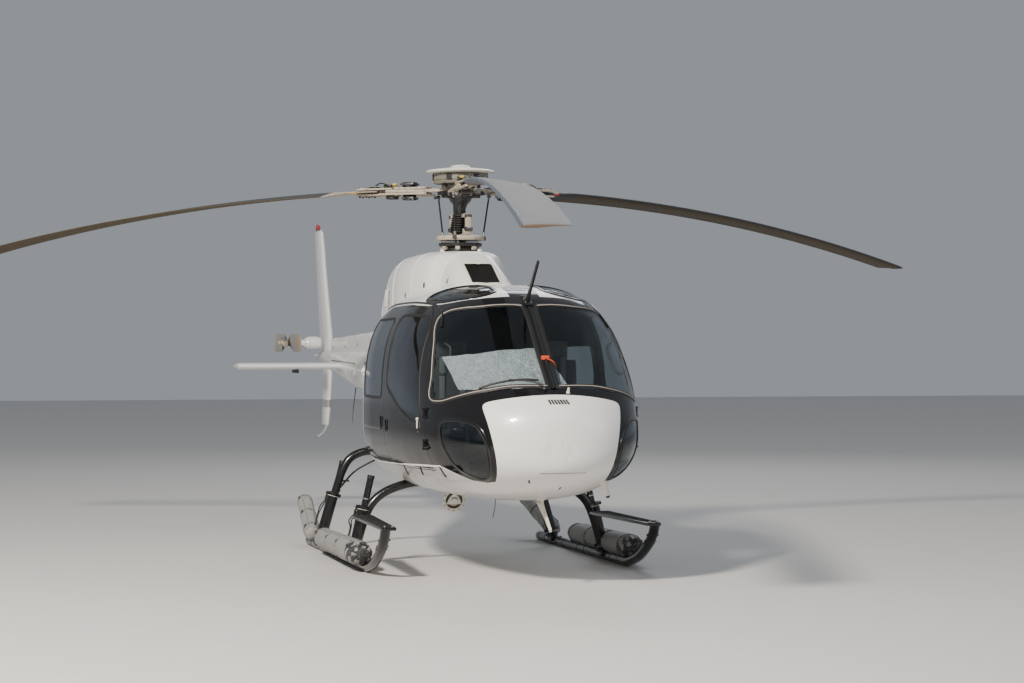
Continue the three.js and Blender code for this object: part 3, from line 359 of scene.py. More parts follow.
class Finish:
    """A material that is put together node by node."""

    def __init__(self, name):
        self.material = bpy.data.materials.new(name)
        self.material.use_nodes = True
        self.tree = self.material.node_tree
        self.tree.nodes.clear()

    def node(self, kind, settings=None, inputs=None, out=0):
        made = self.tree.nodes.new(kind)
        for key, value in (settings or {}).items():
            if key == "stops":
                ramp = made.color_ramp
                while len(ramp.elements) < len(value):
                    ramp.elements.new(0.5)
                for stop, (place, colour) in zip(ramp.elements, value):
                    stop.position = place
                    stop.color = (*colour, 1) if len(colour) == 3 else colour
            else:
                setattr(made, key, value)
        for key, value in (inputs or {}).items():
            socket = made.inputs[key]
            if isinstance(value, Wire):
                self.tree.links.new(value.socket, socket)
            elif isinstance(value, (bpy.types.bpy_prop_array, tuple, list, Color)) and socket.type == "RGBA":
                socket.default_value = (*tuple(value)[:3], 1)
            else:
                socket.default_value = value
        return Wire(self, made.outputs[out]) if len(made.outputs) else None

    def place(self):
        """Where a point lies in the object's own frame."""
        return self.node("ShaderNodeTexCoord", out="Object")

    def axes(self):
        place = self.place()
        return [self.node("ShaderNodeSeparateXYZ", {}, {0: place}, out=k) for k in range(3)]

    def noise(self, scale, detail=3.0, rough=0.5, stretch=(1, 1, 1), distortion=0.0):
        place = self.node("ShaderNodeMapping", {}, {"Vector": self.place(), "Scale": stretch})
        return self.node("ShaderNodeTexNoise", {}, {"Vector": place, "Scale": scale, "Detail": detail,
                                                    "Roughness": rough, "Distortion": distortion}, out="Fac")

    def cells(self, scale):
        return self.node("ShaderNodeTexVoronoi", {}, {"Vector": self.place(), "Scale": scale}, out="Distance")

    def blend(self, share, a, b):
        """Colour a where share is 0 and b where it is 1."""
        return self.node("ShaderNodeMix", {"data_type": "RGBA"}, {0: share, 6: a, 7: b}, out=2)

    def shade(self, colour, amount):
        """A colour times a value."""
        grey = self.node("ShaderNodeCombineXYZ", {}, {0: amount, 1: amount, 2: amount})
        return self.node("ShaderNodeMix", {"data_type": "RGBA", "blend_type": "MULTIPLY"},
                         {0: 1.0, 6: colour, 7: grey}, out=2)

    def profile(self, value, points):
        """A value read off a line through (place, value) points."""
        xs, ys = [p[0] for p in points], [p[1] for p in points]
        low, high = min(ys), max(ys)
        stops = [((x - xs[0]) / (xs[-1] - xs[0]), ((y - low) / (high - low),) * 3) for x, y in points]
        share = (value - xs[0]) / (xs[-1] - xs[0])
        colour = self.node("ShaderNodeValToRGB", {"stops": stops}, {0: share})
        return colour * (high - low) + low

    def bump(self, height, strength, distance=0.001):
        return self.node("ShaderNodeBump", {}, {"Strength": strength, "Distance": distance, "Height": height})

    def surface(self, colour, roughness=0.4, metallic=0.0, coat=0.0, normal=None, **more):
        inputs = {"Base Color": colour, "Roughness": roughness, "Metallic": metallic, "Coat Weight": coat,
                  "Coat Roughness": 0.04, **{k.replace("_", " "): v for k, v in more.items()}}
        if normal is not None:
            inputs["Normal"] = normal
        return self.node("ShaderNodeBsdfPrincipled", {}, inputs)

    def done(self, shader):
        self.node("ShaderNodeOutputMaterial", {}, {"Surface": shader})
        return self.material


MADE = {}


def finish(name):
    """The named material, made the first time that it is asked for."""
    if name not in MADE:
        MADE[name] = FINISHES[name](name)
    return MADE[name]


# Paints


def weathered_white(f, colour):
    """White paint with faint dirt, streaks and tone."""
    broad = f.noise(1.3, 4, 0.6)
    fine = f.noise(35, 3, 0.6)
    streaks = f.noise(9, 4, 0.7, stretch=(1, 0.25, 0.1))
    tone = 0.955 + 0.05 * broad + 0.02 * fine
    stain = ((streaks - 0.56) * 4).clipped() * 0.10
    return f.blend(stain, f.shade(colour, tone), (0.44, 0.38, 0.30)), 0.19 + 0.14 * broad + 0.05 * fine


def make_white(name):
    f = Finish(name)
    colour, rough = weathered_white(f, paint().white)
    peel = f.bump(f.noise(260, 2, 0.5), 0.035, 0.001)
    return f.done(f.surface(colour, rough, coat=0.35, normal=peel))


def make_hull_paint(name):
    """White belly, nose and roof with the black band round the glass and the doors."""
    f = Finish(name)
    x, y, z = f.axes()
    wide = abs(x)
    high = z + PLATE
    sill = f.profile(y, [(-3.20, 0.86), (-3.14, 0.800), (-3.05, 0.745), (-2.93, 0.728), (-2.82, 0.742),
                         (-2.68, 0.800), (-2.59, 0.835), (-2.40, 0.838), (-0.65, 0.790), (0.20, 0.790)])
    above_sill = (high - sill).over(0)
    panel_side = 0.450 + (high - 0.873) * 0.20
    corner = 20
    panel_top = 1.390 - 0.217 * wide * wide
    tall = panel_top - 0.95
    in_panel = ((wide / panel_side) ** corner + ((high - 0.95).most(0) / tall) ** corner).under(1, 0.04)
    in_panel = in_panel * y.under(-2.75)
    ahead = (-1 * y - 1.1).most(0) / 1.135
    roof = ((wide / 0.711) ** 3.3 + ahead ** 3.3).under(1, 0.012) * high.over(1.98)
    middle = wide.under(0.122) * y.under(-1.93)
    roof = roof * (1 - middle)
    aft = y.over(-0.045)
    black = above_sill * (1 - in_panel) * (1 - roof) * (1 - aft)
    white, rough = weathered_white(f, paint().white)
    # Painted warm ground reflection: noisy brown patches on the white, strongest below 0.5 m over the datum and gone
    # above about 0.81 m
    painted_ground_bounce = f.noise(6, 5, 0.7) * (1 - ((high - 0.50) * 3.2).clipped())
    white = f.blend((painted_ground_bounce * 0.9).clipped() * 0.55, white, (0.40, 0.33, 0.25))
    dust = f.noise(2.2, 5, 0.65)
    dark = f.blend(((dust - 0.45) * 2).clipped() * 0.16, paint().black, (0.045, 0.042, 0.040))
    colour = f.blend(black, white, dark)
    gloss = 0.085 + 0.09 * dust
    rough = rough * (1 - black) + gloss * black
    peel = f.bump(f.noise(240, 2, 0.5), 0.03, 0.001)
    return f.done(f.surface(colour, rough, coat=0.40 - 0.32 * black, normal=peel,
                         Specular_IOR_Level=0.36))


def make_plain(colour, rough, metallic=0.0, coat=0.0, grain=60, depth=0.08, spread=0.12):
    """A maker for a finish of one colour with its own grain and wear."""

    def make(name):
        f = Finish(name)
        base = colour() if callable(colour) else colour
        broad = f.noise(7, 4, 0.6)
        fine = f.noise(grain, 4, 0.6)
        tone = 1 - spread / 2 + spread * (broad * 0.6 + fine * 0.4)
        bump = f.bump(fine, depth, 0.001)
        return f.done(f.surface(f.shade(base, tone), (rough - 0.06) + 0.12 * broad, metallic, coat, bump))

    return make


def make_oily_metal(name):
    f = Finish(name)
    grime = f.noise(38, 5, 0.7)
    patch = ((f.noise(13, 4, 0.65) - 0.47) * 5).clipped()
    colour = f.blend(patch, (0.028, 0.026, 0.024), (0.11, 0.095, 0.075))
    return f.done(f.surface(f.shade(colour, 0.7 + 0.6 * grime), 0.32 + 0.3 * grime, 0.55,
                            normal=f.bump(grime, 0.25, 0.002)))


def make_head_beige(name):
    """Primer coloured rotor head with grease in its corners."""
    f = Finish(name)
    grease = ((f.noise(17, 5, 0.7) - 0.50) * 5).clipped()
    fine = f.noise(120, 3, 0.6)
    colour = f.blend(grease * 0.75, paint().beige, (0.10, 0.080, 0.055))
    return f.done(f.surface(f.shade(colour, 0.86 + 0.25 * fine), 0.36 + 0.22 * fine, 0.0, 0.1,
                            f.bump(fine, 0.12, 0.001)))


def make_blade(colour):
    def make(name):
        f = Finish(name)
        base = colour() if callable(colour) else colour
        grain = f.noise(22, 5, 0.65)
        scuff = ((f.noise(60, 4, 0.7) - 0.62) * 6).clipped()
        tint = f.blend(scuff * 0.35, f.shade(base, 0.86 + 0.26 * grain), (0.30, 0.28, 0.25))
        return f.done(f.surface(tint, 0.46 + 0.2 * grain, 0.0, 0.0, f.bump(grain, 0.05, 0.001),
                                Specular_IOR_Level=0.16))

    return make


def make_bag_cloth(name):
    """Coated cloth with a fine weave, scuffs and stretched creases."""
    f = Finish(name)
    x, y, z = f.axes()
    warp = (y * 1900).maths("SINE")
    weft = ((x + z) * 1900).maths("SINE")
    weave = warp * weft * 0.5 + 0.5
    crease = f.noise(16, 5, 0.65, stretch=(1, 0.45, 1), distortion=0.6)
    grime = ((f.noise(5, 5, 0.7) - 0.5) * 3).clipped()
    colour = f.blend(grime * 0.55, f.shade(paint().fabric, 0.85 + 0.3 * crease), (0.17, 0.15, 0.12))
    height = crease * 1.0 + weave * 0.04
    return f.done(f.surface(colour, 0.55 + 0.15 * crease, 0.0, 0.06, f.bump(height, 0.55, 0.006)))


def make_end_cover(name):
    """Crumpled black cover with pale worn folds."""
    f = Finish(name)
    fold = f.noise(26, 5, 0.7, distortion=1.6)
    worn = ((fold - 0.55) * 9).clipped()
    colour = f.blend(worn * 0.7, (0.022, 0.022, 0.023), (0.34, 0.33, 0.31))
    return f.done(f.surface(colour, 0.5 + 0.2 * fold, 0.0, 0.1, f.bump(fold, 0.9, 0.01)))


def make_foil(name):
    """Crinkled silver sunshade: painted bright reflections on its facets and painted shade in its folds."""
    f = Finish(name)
    creases = f.cells(60) * 0.7 + f.noise(110, 5, 0.7, distortion=1.2) * 0.8
    # Painted reflections and painted shade: noise swings the colour between dark and bright silver
    painted_glints = ((f.noise(42, 5, 0.8, distortion=2.2) - 0.36) * 3.2).clipped()
    broad = f.noise(7, 3, 0.6, distortion=0.6)
    colour = f.blend((painted_glints * 0.75 + broad * 0.45 - 0.10).clipped(), (0.16, 0.18, 0.20), (0.80, 0.83, 0.88))
    return f.done(f.surface(colour, 0.34 + 0.2 * f.noise(140), 0.35, normal=f.bump(creases, 1.0, 0.010)))


def make_glass(tint, gloss=1.0, depth=0.0):
    """A pane that lets tinted light through, with the gloss of its faces."""

    def make(name):
        f = Finish(name)
        f.material.use_transparent_shadow = True
        colour = tint() if callable(tint) else tint
        smear = f.noise(4, 5, 0.7)
        clear = f.node("ShaderNodeBsdfTransparent", {}, {"Color": (*colour, 1)})
        shine = f.surface((0.92, 0.95, 1.0), 0.025 + 0.03 * smear, 1.0)
        facing = f.node("ShaderNodeLayerWeight", {}, {"Blend": 0.5}, out=1)
        share = ((facing ** 5) * 0.55 * gloss + 0.022 * gloss + depth + 0.006 * smear).clipped()
        return f.done(f.node("ShaderNodeMixShader", {}, {0: share, 1: clear, 2: shine}))

    return make


def make_seat_cloth(name):
    f = Finish(name)
    weave = f.cells(420)
    broad = f.noise(9, 4, 0.6)
    return f.done(f.surface(f.shade((0.055, 0.052, 0.050), 0.75 + 0.6 * broad), 0.72 + 0.1 * broad,
                            normal=f.bump(weave, 0.35, 0.002), Sheen_Weight=0.3))


def make_carpet(name):
    f = Finish(name)
    pile = f.noise(300, 4, 0.8)
    return f.done(f.surface(f.shade((0.045, 0.045, 0.047), 0.6 + 0.9 * pile), 0.9, normal=f.bump(pile, 0.7, 0.003)))


def make_exhaust(name):
    """Heat stained steel."""
    f = Finish(name)
    heat = f.noise(5, 4, 0.6, stretch=(1, 0.4, 1))
    soot = ((f.noise(12, 5, 0.7) - 0.5) * 4).clipped()
    colour = f.blend(heat, (0.33, 0.24, 0.17), (0.40, 0.37, 0.36))
    return f.done(f.surface(f.blend(soot * 0.7, colour, (0.06, 0.05, 0.045)), 0.34 + 0.25 * soot, 0.9,
                            normal=f.bump(f.noise(90), 0.1, 0.001)))


def make_lamp_glass(name):
    f = Finish(name)
    x, _, _ = f.axes()
    flutes = (x * 420).maths("SINE") * 0.5 + 0.5
    colour = f.blend(f.noise(20, 4, 0.6), (0.16, 0.11, 0.06), (0.50, 0.44, 0.34))
    return f.done(f.surface(colour, 0.12, 0.8, 1.0, f.bump(flutes, 0.6, 0.002)))


def make_beacon(name):
    f = Finish(name)
    depth = f.noise(30, 3, 0.5)
    colour = f.blend(depth, (0.22, 0.006, 0.005), (0.42, 0.02, 0.012))
    return f.done(f.surface(colour, 0.14 + 0.06 * depth, 0.0, 1.0))


def make_floor(name):
    f = Finish(name)
    grain = f.noise(3.5, 5, 0.6)
    fine = f.noise(90, 3, 0.6)
    return f.done(f.surface(f.shade((0.62, 0.605, 0.585), 0.93 + 0.08 * grain + 0.04 * fine), 0.6 + 0.12 * grain,
                            normal=f.bump(fine, 0.08, 0.002)))


FINISHES = {
    "hull_paint": make_hull_paint,
    "white_paint": make_white,
    "gloss_black": make_plain((0.006, 0.006, 0.007), 0.18, 0.0, 0.12, 200, 0.03),
    "tube_black": make_plain((0.006, 0.006, 0.0065), 0.24, 0.0, 0.22, 90, 0.06, 0.3),
    "worn_black": make_plain((0.012, 0.0115, 0.011), 0.42, 0.05, 0.1, 70, 0.15, 0.5),
    "rubber_black": make_plain((0.008, 0.008, 0.008), 0.55, 0.0, 0.0, 110, 0.15, 0.3),
    "seal_beige": make_plain((0.44, 0.39, 0.33), 0.5, 0.0, 0.0, 90, 0.1, 0.3),
    "cream_paint": make_plain((0.70, 0.66, 0.57), 0.35, 0.0, 0.2, 80, 0.05, 0.15),
    "head_beige": make_head_beige,
    "cap_white": make_plain((0.72, 0.69, 0.61), 0.33, 0.0, 0.25, 60, 0.05, 0.16),
    "drum_olive": make_plain((0.17, 0.165, 0.125), 0.42, 0.1, 0.1, 80, 0.1, 0.35),
    "oily_metal": make_oily_metal,
    "steel": make_plain((0.42, 0.42, 0.43), 0.3, 0.95, 0.0, 150, 0.06, 0.25),
    "dark_steel": make_plain((0.12, 0.12, 0.125), 0.38, 0.8, 0.0, 90, 0.1, 0.4),
    "skid_metal": make_plain((0.020, 0.0195, 0.019), 0.42, 0.4, 0.1, 45, 0.15, 0.55),
    "step_plate": make_plain((0.011, 0.011, 0.0105), 0.62, 0.0, 0.0, 150, 0.4, 0.5),
    "blade_near": make_blade(lambda: paint().blade),
    # Brown that paints the warm ground reflection on the far blades' undersides; the same brown colours the tail
    # blades' roots
    "blade_tan": make_blade((0.085, 0.062, 0.030)),
    "blade_top": make_blade((0.052, 0.053, 0.056)),
    "blade_edge": make_plain((0.15, 0.18, 0.22), 0.28, 0.7, 0.1, 60, 0.05, 0.25),
    "blade_tip": make_plain((0.10, 0.062, 0.040), 0.5, 0.0, 0.0, 60, 0.2, 0.5),
    "blade_root": make_blade((0.40, 0.35, 0.285)),
    "band_yellow": make_plain((0.72, 0.47, 0.03), 0.4, 0.0, 0.1, 60, 0.05),
    "band_red": make_plain((0.32, 0.045, 0.025), 0.42, 0.0, 0.1, 60, 0.05),
    "tail_blade": make_plain((0.30, 0.28, 0.25), 0.36, 0.0, 0.1, 60, 0.05, 0.3),
    "tip_orange": make_plain((0.62, 0.33, 0.05), 0.4, 0.0, 0.1, 60, 0.05, 0.3),
    "grey_band": make_plain((0.30, 0.31, 0.32), 0.4, 0.0, 0.1, 60, 0.05, 0.2),
    "bag_cloth": make_bag_cloth,
    "end_cover": make_end_cover,
    "lashing": make_plain((0.17, 0.17, 0.165), 0.7, 0.0, 0.0, 200, 0.3, 0.4),
    "foil": make_foil,
    "clear_glass": make_glass(lambda: paint().glass_tint, 1.25),
    "door_glass": make_glass((0.64, 0.68, 0.70), 1.5, 0.01),
    "dark_glass": make_glass((0.52, 0.56, 0.58), 1.5, 0.01),
    "seat_cloth": make_seat_cloth,
    "carpet": make_carpet,
    "lining": make_plain((0.050, 0.048, 0.046), 0.7, 0.0, 0.0, 130, 0.2, 0.3),
    "panel_black": make_plain((0.018, 0.018, 0.019), 0.5, 0.0, 0.0, 160, 0.2, 0.3),
    "dial_glass": make_plain((0.02, 0.022, 0.026), 0.08, 0.0, 1.0, 90, 0.01),
    "bulkhead_trim": make_plain((0.075, 0.070, 0.064), 0.72, 0.0, 0.0, 120, 0.25, 0.3),
    "exhaust": make_exhaust,
    "lamp_glass": make_lamp_glass,
    "beacon_red": make_beacon,
    "strap_red": make_plain((0.60, 0.075, 0.02), 0.6, 0.0, 0.0, 150, 0.2, 0.3),
    "floor": make_floor,
}


# Making meshes


def round_path(points, steps, closed=False):
    """A smooth line through points, as evenly spread points."""
    p = [np.array(v, float) for v in points]
    n = len(p)
    spans = n if closed else n - 1
    out = []
    for k in range(spans):
        if closed:
            a, b, c, d = p[k - 1], p[k], p[(k + 1) % n], p[(k + 2) % n]
        else:
            a = p[k - 1] if k else 2 * p[0] - p[1]
            b, c = p[k], p[k + 1]
            d = p[k + 2] if k + 2 < n else 2 * p[-1] - p[-2]
        for i in range(16):
            t = i / 16
            out.append(0.5 * (2 * b + (c - a) * t + (2 * a - 5 * b + 4 * c - d) * t * t
                              + (3 * b - a - 3 * c + d) * t ** 3))
    if not closed:
        out.append(p[-1])
    return spread(out, steps, closed)


def spread(points, steps, closed=False):
    """Points at even distances along a line."""
    p = np.array(points, float)
    if closed:
        p = np.vstack([p, p[:1]])
    run = np.concatenate([[0], np.cumsum(np.linalg.norm(np.diff(p, axis=0), axis=1))])
    want = np.linspace(0, run[-1], steps + 1)
    made = np.stack([np.interp(want, run, p[:, k]) for k in range(p.shape[1])], -1)
    return made[:-1] if closed else made


def soften(loop, turns=2):
    """A closed line with its corners eased."""
    p = np.array(loop, float)
    for _ in range(turns):
        p = 0.25 * np.roll(p, 1, 0) + 0.5 * p + 0.25 * np.roll(p, -1, 0)
    return p


def basis(direction, up=(0, 0, 1)):
    """Two directions across a direction."""
    d = Vector(direction).normalized()
    side = d.cross(Vector(up))
    if side.length < 1e-4:
        side = d.cross(Vector((1, 0, 0)))
    side.normalize()
    return side, side.cross(d).normalized()


# Turns an outline in two directions upright: its first one along Y, its second one along Z
UPRIGHT = Matrix(((0, 0, 1, 0), (1, 0, 0, 0), (0, 1, 0, 0), (0, 0, 0, 1)))


def facing(place, out, up=(0, 0, 1)):
    """A frame at a place: z out of the surface, y near the given direction."""
    z = Vector(out).normalized()
    x = Vector(up).cross(z).normalized()
    return Matrix.Translation(Vector(place)) @ Matrix((x, z.cross(x), z)).transposed().to_4x4()


class Part:
    """Gathers forms into one mesh, each with its own finish."""

    def __init__(self, name):
        self.name = name
        self.points = []
        self.faces = []
        self.kinds = []
        self.finishes = []
        self.frame = Matrix()

    def kind(self, name):
        if name not in self.finishes:
            self.finishes.append(name)
        return self.finishes.index(name)

    def add(self, points, faces, material):
        start = len(self.points)
        self.points.extend(tuple(self.frame @ Vector(p)) for p in points)
        self.faces.extend(tuple(start + i for i in face) for face in faces)
        names = material if isinstance(material, list) else [material] * len(faces)
        self.kinds.extend(self.kind(name) for name in names)
        return self

    def rings(self, rings, material, closed=True, caps=True, pick=None):
        """A skin through rings of equal length. pick(ring, place) names a face's finish."""
        n = len(rings[0])
        points = [p for ring in rings for p in ring]
        faces, names = [], []
        for k in range(len(rings) - 1):
            for i in range(n if closed else n - 1):
                a, b = k * n + i, k * n + (i + 1) % n
                faces.append((a, b, b + n, a + n))
                names.append(pick(k, i) if pick else material)
        if caps and closed:
            faces.append(tuple(range(n))[::-1])
            faces.append(tuple((len(rings) - 1) * n + i for i in range(n)))
            names += [pick(-1, 0) if pick else material, pick(len(rings) - 1, 0) if pick else material]
        return self.add(points, faces, names)

    def tube(self, points, radius, material, sides=20, steps=None, straight=False):
        """A round bar along a line; radius may be a function of the share of its length."""
        line = np.array(points, float) if straight else round_path(points, steps or 8 * (len(points) - 1))
        n = len(line)
        grip = radius if callable(radius) else (lambda t: radius)
        ways = np.gradient(line, axis=0)
        side = None
        rings = []
        for k in range(n):
            way = Vector(ways[k]).normalized()
            if side is None:
                side, _ = basis(way)
            side = (side - way * side.dot(way)).normalized()
            up = side.cross(way)
            r = grip(k / max(1, n - 1))
            rings.append([Vector(line[k]) + side * (r * math.cos(a)) + up * (r * math.sin(a))
                          for a in (2 * math.pi * i / sides for i in range(sides))])
        return self.rings(rings, material)

    def turned(self, profile, origin, axis, material, steps=40):
        """A turned form: profile of (radius, distance along the axis)."""
        side, up = basis(axis)
        way = Vector(axis).normalized()
        origin = Vector(origin)
        rings = []
        for r, h in profile:
            rings.append([origin + way * h + side * (r * math.cos(a)) + up * (r * math.sin(a))
                          for a in (2 * math.pi * i / steps for i in range(steps))])
        return self.rings(rings, material)

    def solid(self, bm, material, matrix=None):
        bm.verts.ensure_lookup_table()
        points = [(matrix @ v.co) if matrix else v.co.copy() for v in bm.verts]
        faces = [[v.index for v in f.verts] for f in bm.faces]
        bm.free()
        return self.add(points, faces, material)

    def box(self, low, high, material, ease=0.003, matrix=None):
        bm = bmesh.new()
        bmesh.ops.create_cube(bm, size=1)
        low, high = Vector(low), Vector(high)
        for v in bm.verts:
            v.co = Vector(((high[k] + low[k]) / 2 + v.co[k] * (high[k] - low[k]) for k in range(3)))
        ease = min(ease, 0.45 * min(high - low))
        if ease > 0:
            bmesh.ops.bevel(bm, geom=bm.edges[:], offset=ease, segments=2, affect="EDGES", profile=0.6)
        bm.verts.index_update()
        return self.solid(bm, material, matrix)

    def plate(self, outline, low, high, material, matrix=None, ease=0.002):
        """An outline in two directions, with a thickness along the third."""
        bm = bmesh.new()
        base = [bm.verts.new((x, y, low)) for x, y in outline]
        face = bm.faces.new(base)
        made = bmesh.ops.extrude_face_region(bm, geom=[face])
        bmesh.ops.translate(bm, verts=[v for v in made["geom"] if isinstance(v, bmesh.types.BMVert)],
                            vec=(0, 0, high - low))
        bmesh.ops.recalc_face_normals(bm, faces=bm.faces[:])
        if ease > 0:
            rim = [e for e in bm.edges if len(e.link_faces) == 2 and e.calc_face_angle(0) > 0.6]
            bmesh.ops.bevel(bm, geom=rim, offset=ease, segments=2, affect="EDGES", profile=0.6)
        bm.verts.index_update()
        return self.solid(bm, material, matrix)

    def box_at(self, low, high, material, ease=0.003):
        """A box between corners that are given by their heights over the datum."""
        return self.box(at(*low), at(*high), material, ease)

    def plate_at(self, outline, half, material, ease=0.003):
        """An upright plate on the middle plane: outline of (y, height over the datum)."""
        return self.plate([(y, z - PLATE) for y, z in outline], -half, half, material, UPRIGHT, ease)

    def turned_at(self, profile, material, steps=48):
        """A form turned round the mast: profile of (radius, height over the datum)."""
        return self.turned([(r, z - PLATE) for r, z in profile], (0, 0, 0), (0, 0, 1), material, steps)

    def disc(self, radius, height, place, axis, material, steps=40):
        return self.turned([(0, 0), (radius, 0), (radius, height), (0, height)], place, axis, material, steps)

    def bolts(self, radius, z, way, count, first, size, height, material="steel"):
        """Bolts in a circle round the mast, pointing up or down."""
        for k in range(count):
            a = math.radians(360 / count * k + first)
            self.bolt(at(radius * math.cos(a), radius * math.sin(a), z), (0, 0, way), size, height, material)

    def bolt(self, place, axis, radius, height, material):
        """A six sided head on a washer."""
        self.turned([(0.0, 0), (radius * 1.35, 0), (radius * 1.35, height * 0.25), (radius, height * 0.25),
                     (0.0, height * 0.25)], place, axis, material, 12)
        top = Vector(place) + Vector(axis).normalized() * height * 0.25
        return self.turned([(0.0, 0), (radius, 0), (radius, height * 0.6), (radius * 0.8, height * 0.75),
                            (0.0, height * 0.75)], top, axis, material, 6)

    def rivet(self, place, axis, material, radius=0.0042, height=0.0016):
        """A low domed head."""
        profile = [(0, -0.001), (radius, -0.001), (radius * 0.9, height * 0.5), (radius * 0.5, height), (0, height)]
        return self.turned(profile, place, axis, material, 8)

    def strip(self, points, width, height, material, form=HULL, gap=0.02):
        """An open bead through points, spread evenly."""
        return self.bead(line_on(form, points, gap), form, width, height, material, closed=False)

    def bead(self, line, form, width, height, material, closed=True):
        """A rounded strip laid along a line on a form's surface."""
        sides, sink = 6, 0.002
        p = form.onto(line)
        n = form.normal(p)
        if closed:
            way = np.roll(p, -1, 0) - np.roll(p, 1, 0)
        else:
            way = np.gradient(p, axis=0)
        way /= np.linalg.norm(way, axis=1, keepdims=True)
        across = np.cross(way, n)
        across /= np.linalg.norm(across, axis=1, keepdims=True)
        rings = []
        for k in range(len(p)):
            ring = []
            for i in range(sides + 1):
                a = math.pi * i / sides
                ring.append(p[k] + across[k] * (width / 2 * math.cos(a)) + n[k] * (height * math.sin(a)))
            ring.append(p[k] - across[k] * (width / 2) - n[k] * sink)
            ring.append(p[k] + across[k] * (width / 2) - n[k] * sink)
            rings.append(ring)
        if closed:
            rings.append(rings[0])
        return self.rings(rings, material, caps=not closed)

    def place(self, body="airframe", slot=None, replaces=(), angle=35):
        """The mesh as an object that rides on a body."""
        mesh = bpy.data.meshes.new(self.name)
        mesh.from_pydata(self.points, [], self.faces)
        bm = bmesh.new()
        bm.from_mesh(mesh)
        for face, kind in zip(bm.faces, self.kinds):
            face.material_index = kind
        bmesh.ops.remove_doubles(bm, verts=bm.verts[:], dist=2e-6)
        bmesh.ops.dissolve_degenerate(bm, edges=bm.edges[:], dist=1e-7)
        bmesh.ops.recalc_face_normals(bm, faces=bm.faces[:])
        bm.to_mesh(mesh)
        bm.free()
        for name in self.finishes:
            mesh.materials.append(finish(name))
        mesh.shade_smooth()
        mesh.set_sharp_from_angle(angle=math.radians(angle))
        made = bpy.data.objects.new(self.name, mesh)
        bpy.context.scene.collection.objects.link(made)
        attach(made, body)
        if replaces:
            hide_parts(*replaces)
        return made


# Skins: a rough shell from the frame, cut finer and laid on its smooth form

# The lines round each skin's outer face, kept for the seals
RIMS = {}


def cut_planes(form, low, high, fine):
    """Places across Y where a skin is cut finer, closer together at the nose."""
    if form.nose is not None:
        places = [form.nose + q * q for q in np.arange(0.06, 0.93, 0.030)]
        places += list(np.arange(-2.46, 2.72, fine))
    else:
        places = list(np.arange(form.curve.place[0] + 0.01, form.curve.place[-1], fine))
    return [y for y in places if low[1] + 0.002 < y < high[1] - 0.002]


def smooth_skin(node, name, form, body, slot, outside, inside=None, edge=None, thick=SKIN, axis_height=1.15,
                fine=0.06, turn=5.0, shape=None):
    """The node's shell on the smooth form, with a finish for its outside, inside and edges."""
    shape = shape or form
    low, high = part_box(node)
    bm = bmesh.new()
    bm.from_mesh(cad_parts[node].data)
    bmesh.ops.remove_doubles(bm, verts=bm.verts[:], dist=3e-5)
    cuts = [(Vector((0, y, 0)), Vector((0, 1, 0))) for y in cut_planes(form, low, high, fine)]
    count = int(round(180 / turn))
    for k in range(count):
        a = math.radians(turn * (k + 0.5))
        cuts.append((Vector((0, 0, axis_height - PLATE)), Vector((-math.sin(a), 0, math.cos(a)))))
    for place, way in cuts:
        corners = [Vector((x, y, z)) for x in (low[0], high[0]) for y in (low[1], high[1]) for z in (low[2], high[2])]
        reach = [(c - place).dot(way) for c in corners]
        if min(reach) < -1e-3 and max(reach) > 1e-3:
            bmesh.ops.bisect_plane(bm, geom=bm.verts[:] + bm.edges[:] + bm.faces[:], plane_co=place, plane_no=way,
                                   dist=2e-5)
    bmesh.ops.dissolve_degenerate(bm, edges=bm.edges[:], dist=2e-5)
    bmesh.ops.triangulate(bm, faces=[f for f in bm.faces if len(f.verts) > 4])
    bm.verts.ensure_lookup_table()
    bm.faces.ensure_lookup_table()
    bm.verts.index_update()
    bm.faces.index_update()
    co = np.array([v.co for v in bm.verts])
    middle = np.array([f.calc_center_median() for f in bm.faces])
    facing = np.array([f.normal for f in bm.faces])
    lean = (form.normal(middle) * facing).sum(1)
    reach, _ = form.reach(middle)
    size = np.linalg.norm(middle[:, [0, 2]] - np.array([0, axis_height - PLATE]), axis=1)
    depth = (1 - reach) * size
    outer = (lean > 0.88) & (depth > -0.006) & (depth < thick + 0.02)
    inner = (lean < -0.88) & (depth > -0.004) & (depth < thick + 0.045)
    nose = middle[:, 1] < NOSE_Y + 0.0005
    is_outer, is_inner = np.zeros(len(co), bool), np.zeros(len(co), bool)
    for f in bm.faces:
        if nose[f.index]:
            continue
        for v in f.verts:
            is_outer[v.index] |= outer[f.index]
            is_inner[v.index] |= inner[f.index]
    is_inner &= ~is_outer
    moved = co.copy()
    if is_outer.any():
        moved[is_outer] = shape.onto(co[is_outer])
    if is_inner.any():
        moved[is_inner] = shape.onto(co[is_inner], thick)
    for v in bm.verts:
        v.co = moved[v.index]
    bm.normal_update()
    for f in bm.faces:
        f.smooth = True
        f.material_index = 0 if outer[f.index] else 1 if inner[f.index] else 2
    RIMS[node] = rim_loops(bm, outer)
    mesh = bpy.data.meshes.new(name)
    bm.to_mesh(mesh)
    flat = np.array([f.normal for f in bm.faces])
    bm.free()
    owner = np.zeros(len(mesh.loops), int)
    for polygon in mesh.polygons:
        owner[polygon.loop_start:polygon.loop_start + polygon.loop_total] = polygon.index
    vertex = np.zeros(len(mesh.loops), np.int32)
    mesh.loops.foreach_get("vertex_index", vertex)
    normals = flat[owner]
    out_loops, in_loops = outer[owner], inner[owner]
    points = moved[vertex]
    smooth_out = shape.normal(points)
    smooth_in = shape.normal(points, thick)
    normals[out_loops] = smooth_out[out_loops]
    normals[in_loops] = -smooth_in[in_loops]
    for choice in (outside, inside or outside, edge or outside):
        mesh.materials.append(finish(choice))
    mesh.normals_split_custom_set(normals.tolist())
    made = bpy.data.objects.new(name, mesh)
    bpy.context.scene.collection.objects.link(made)
    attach(made, body)
    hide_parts(node)
    return made


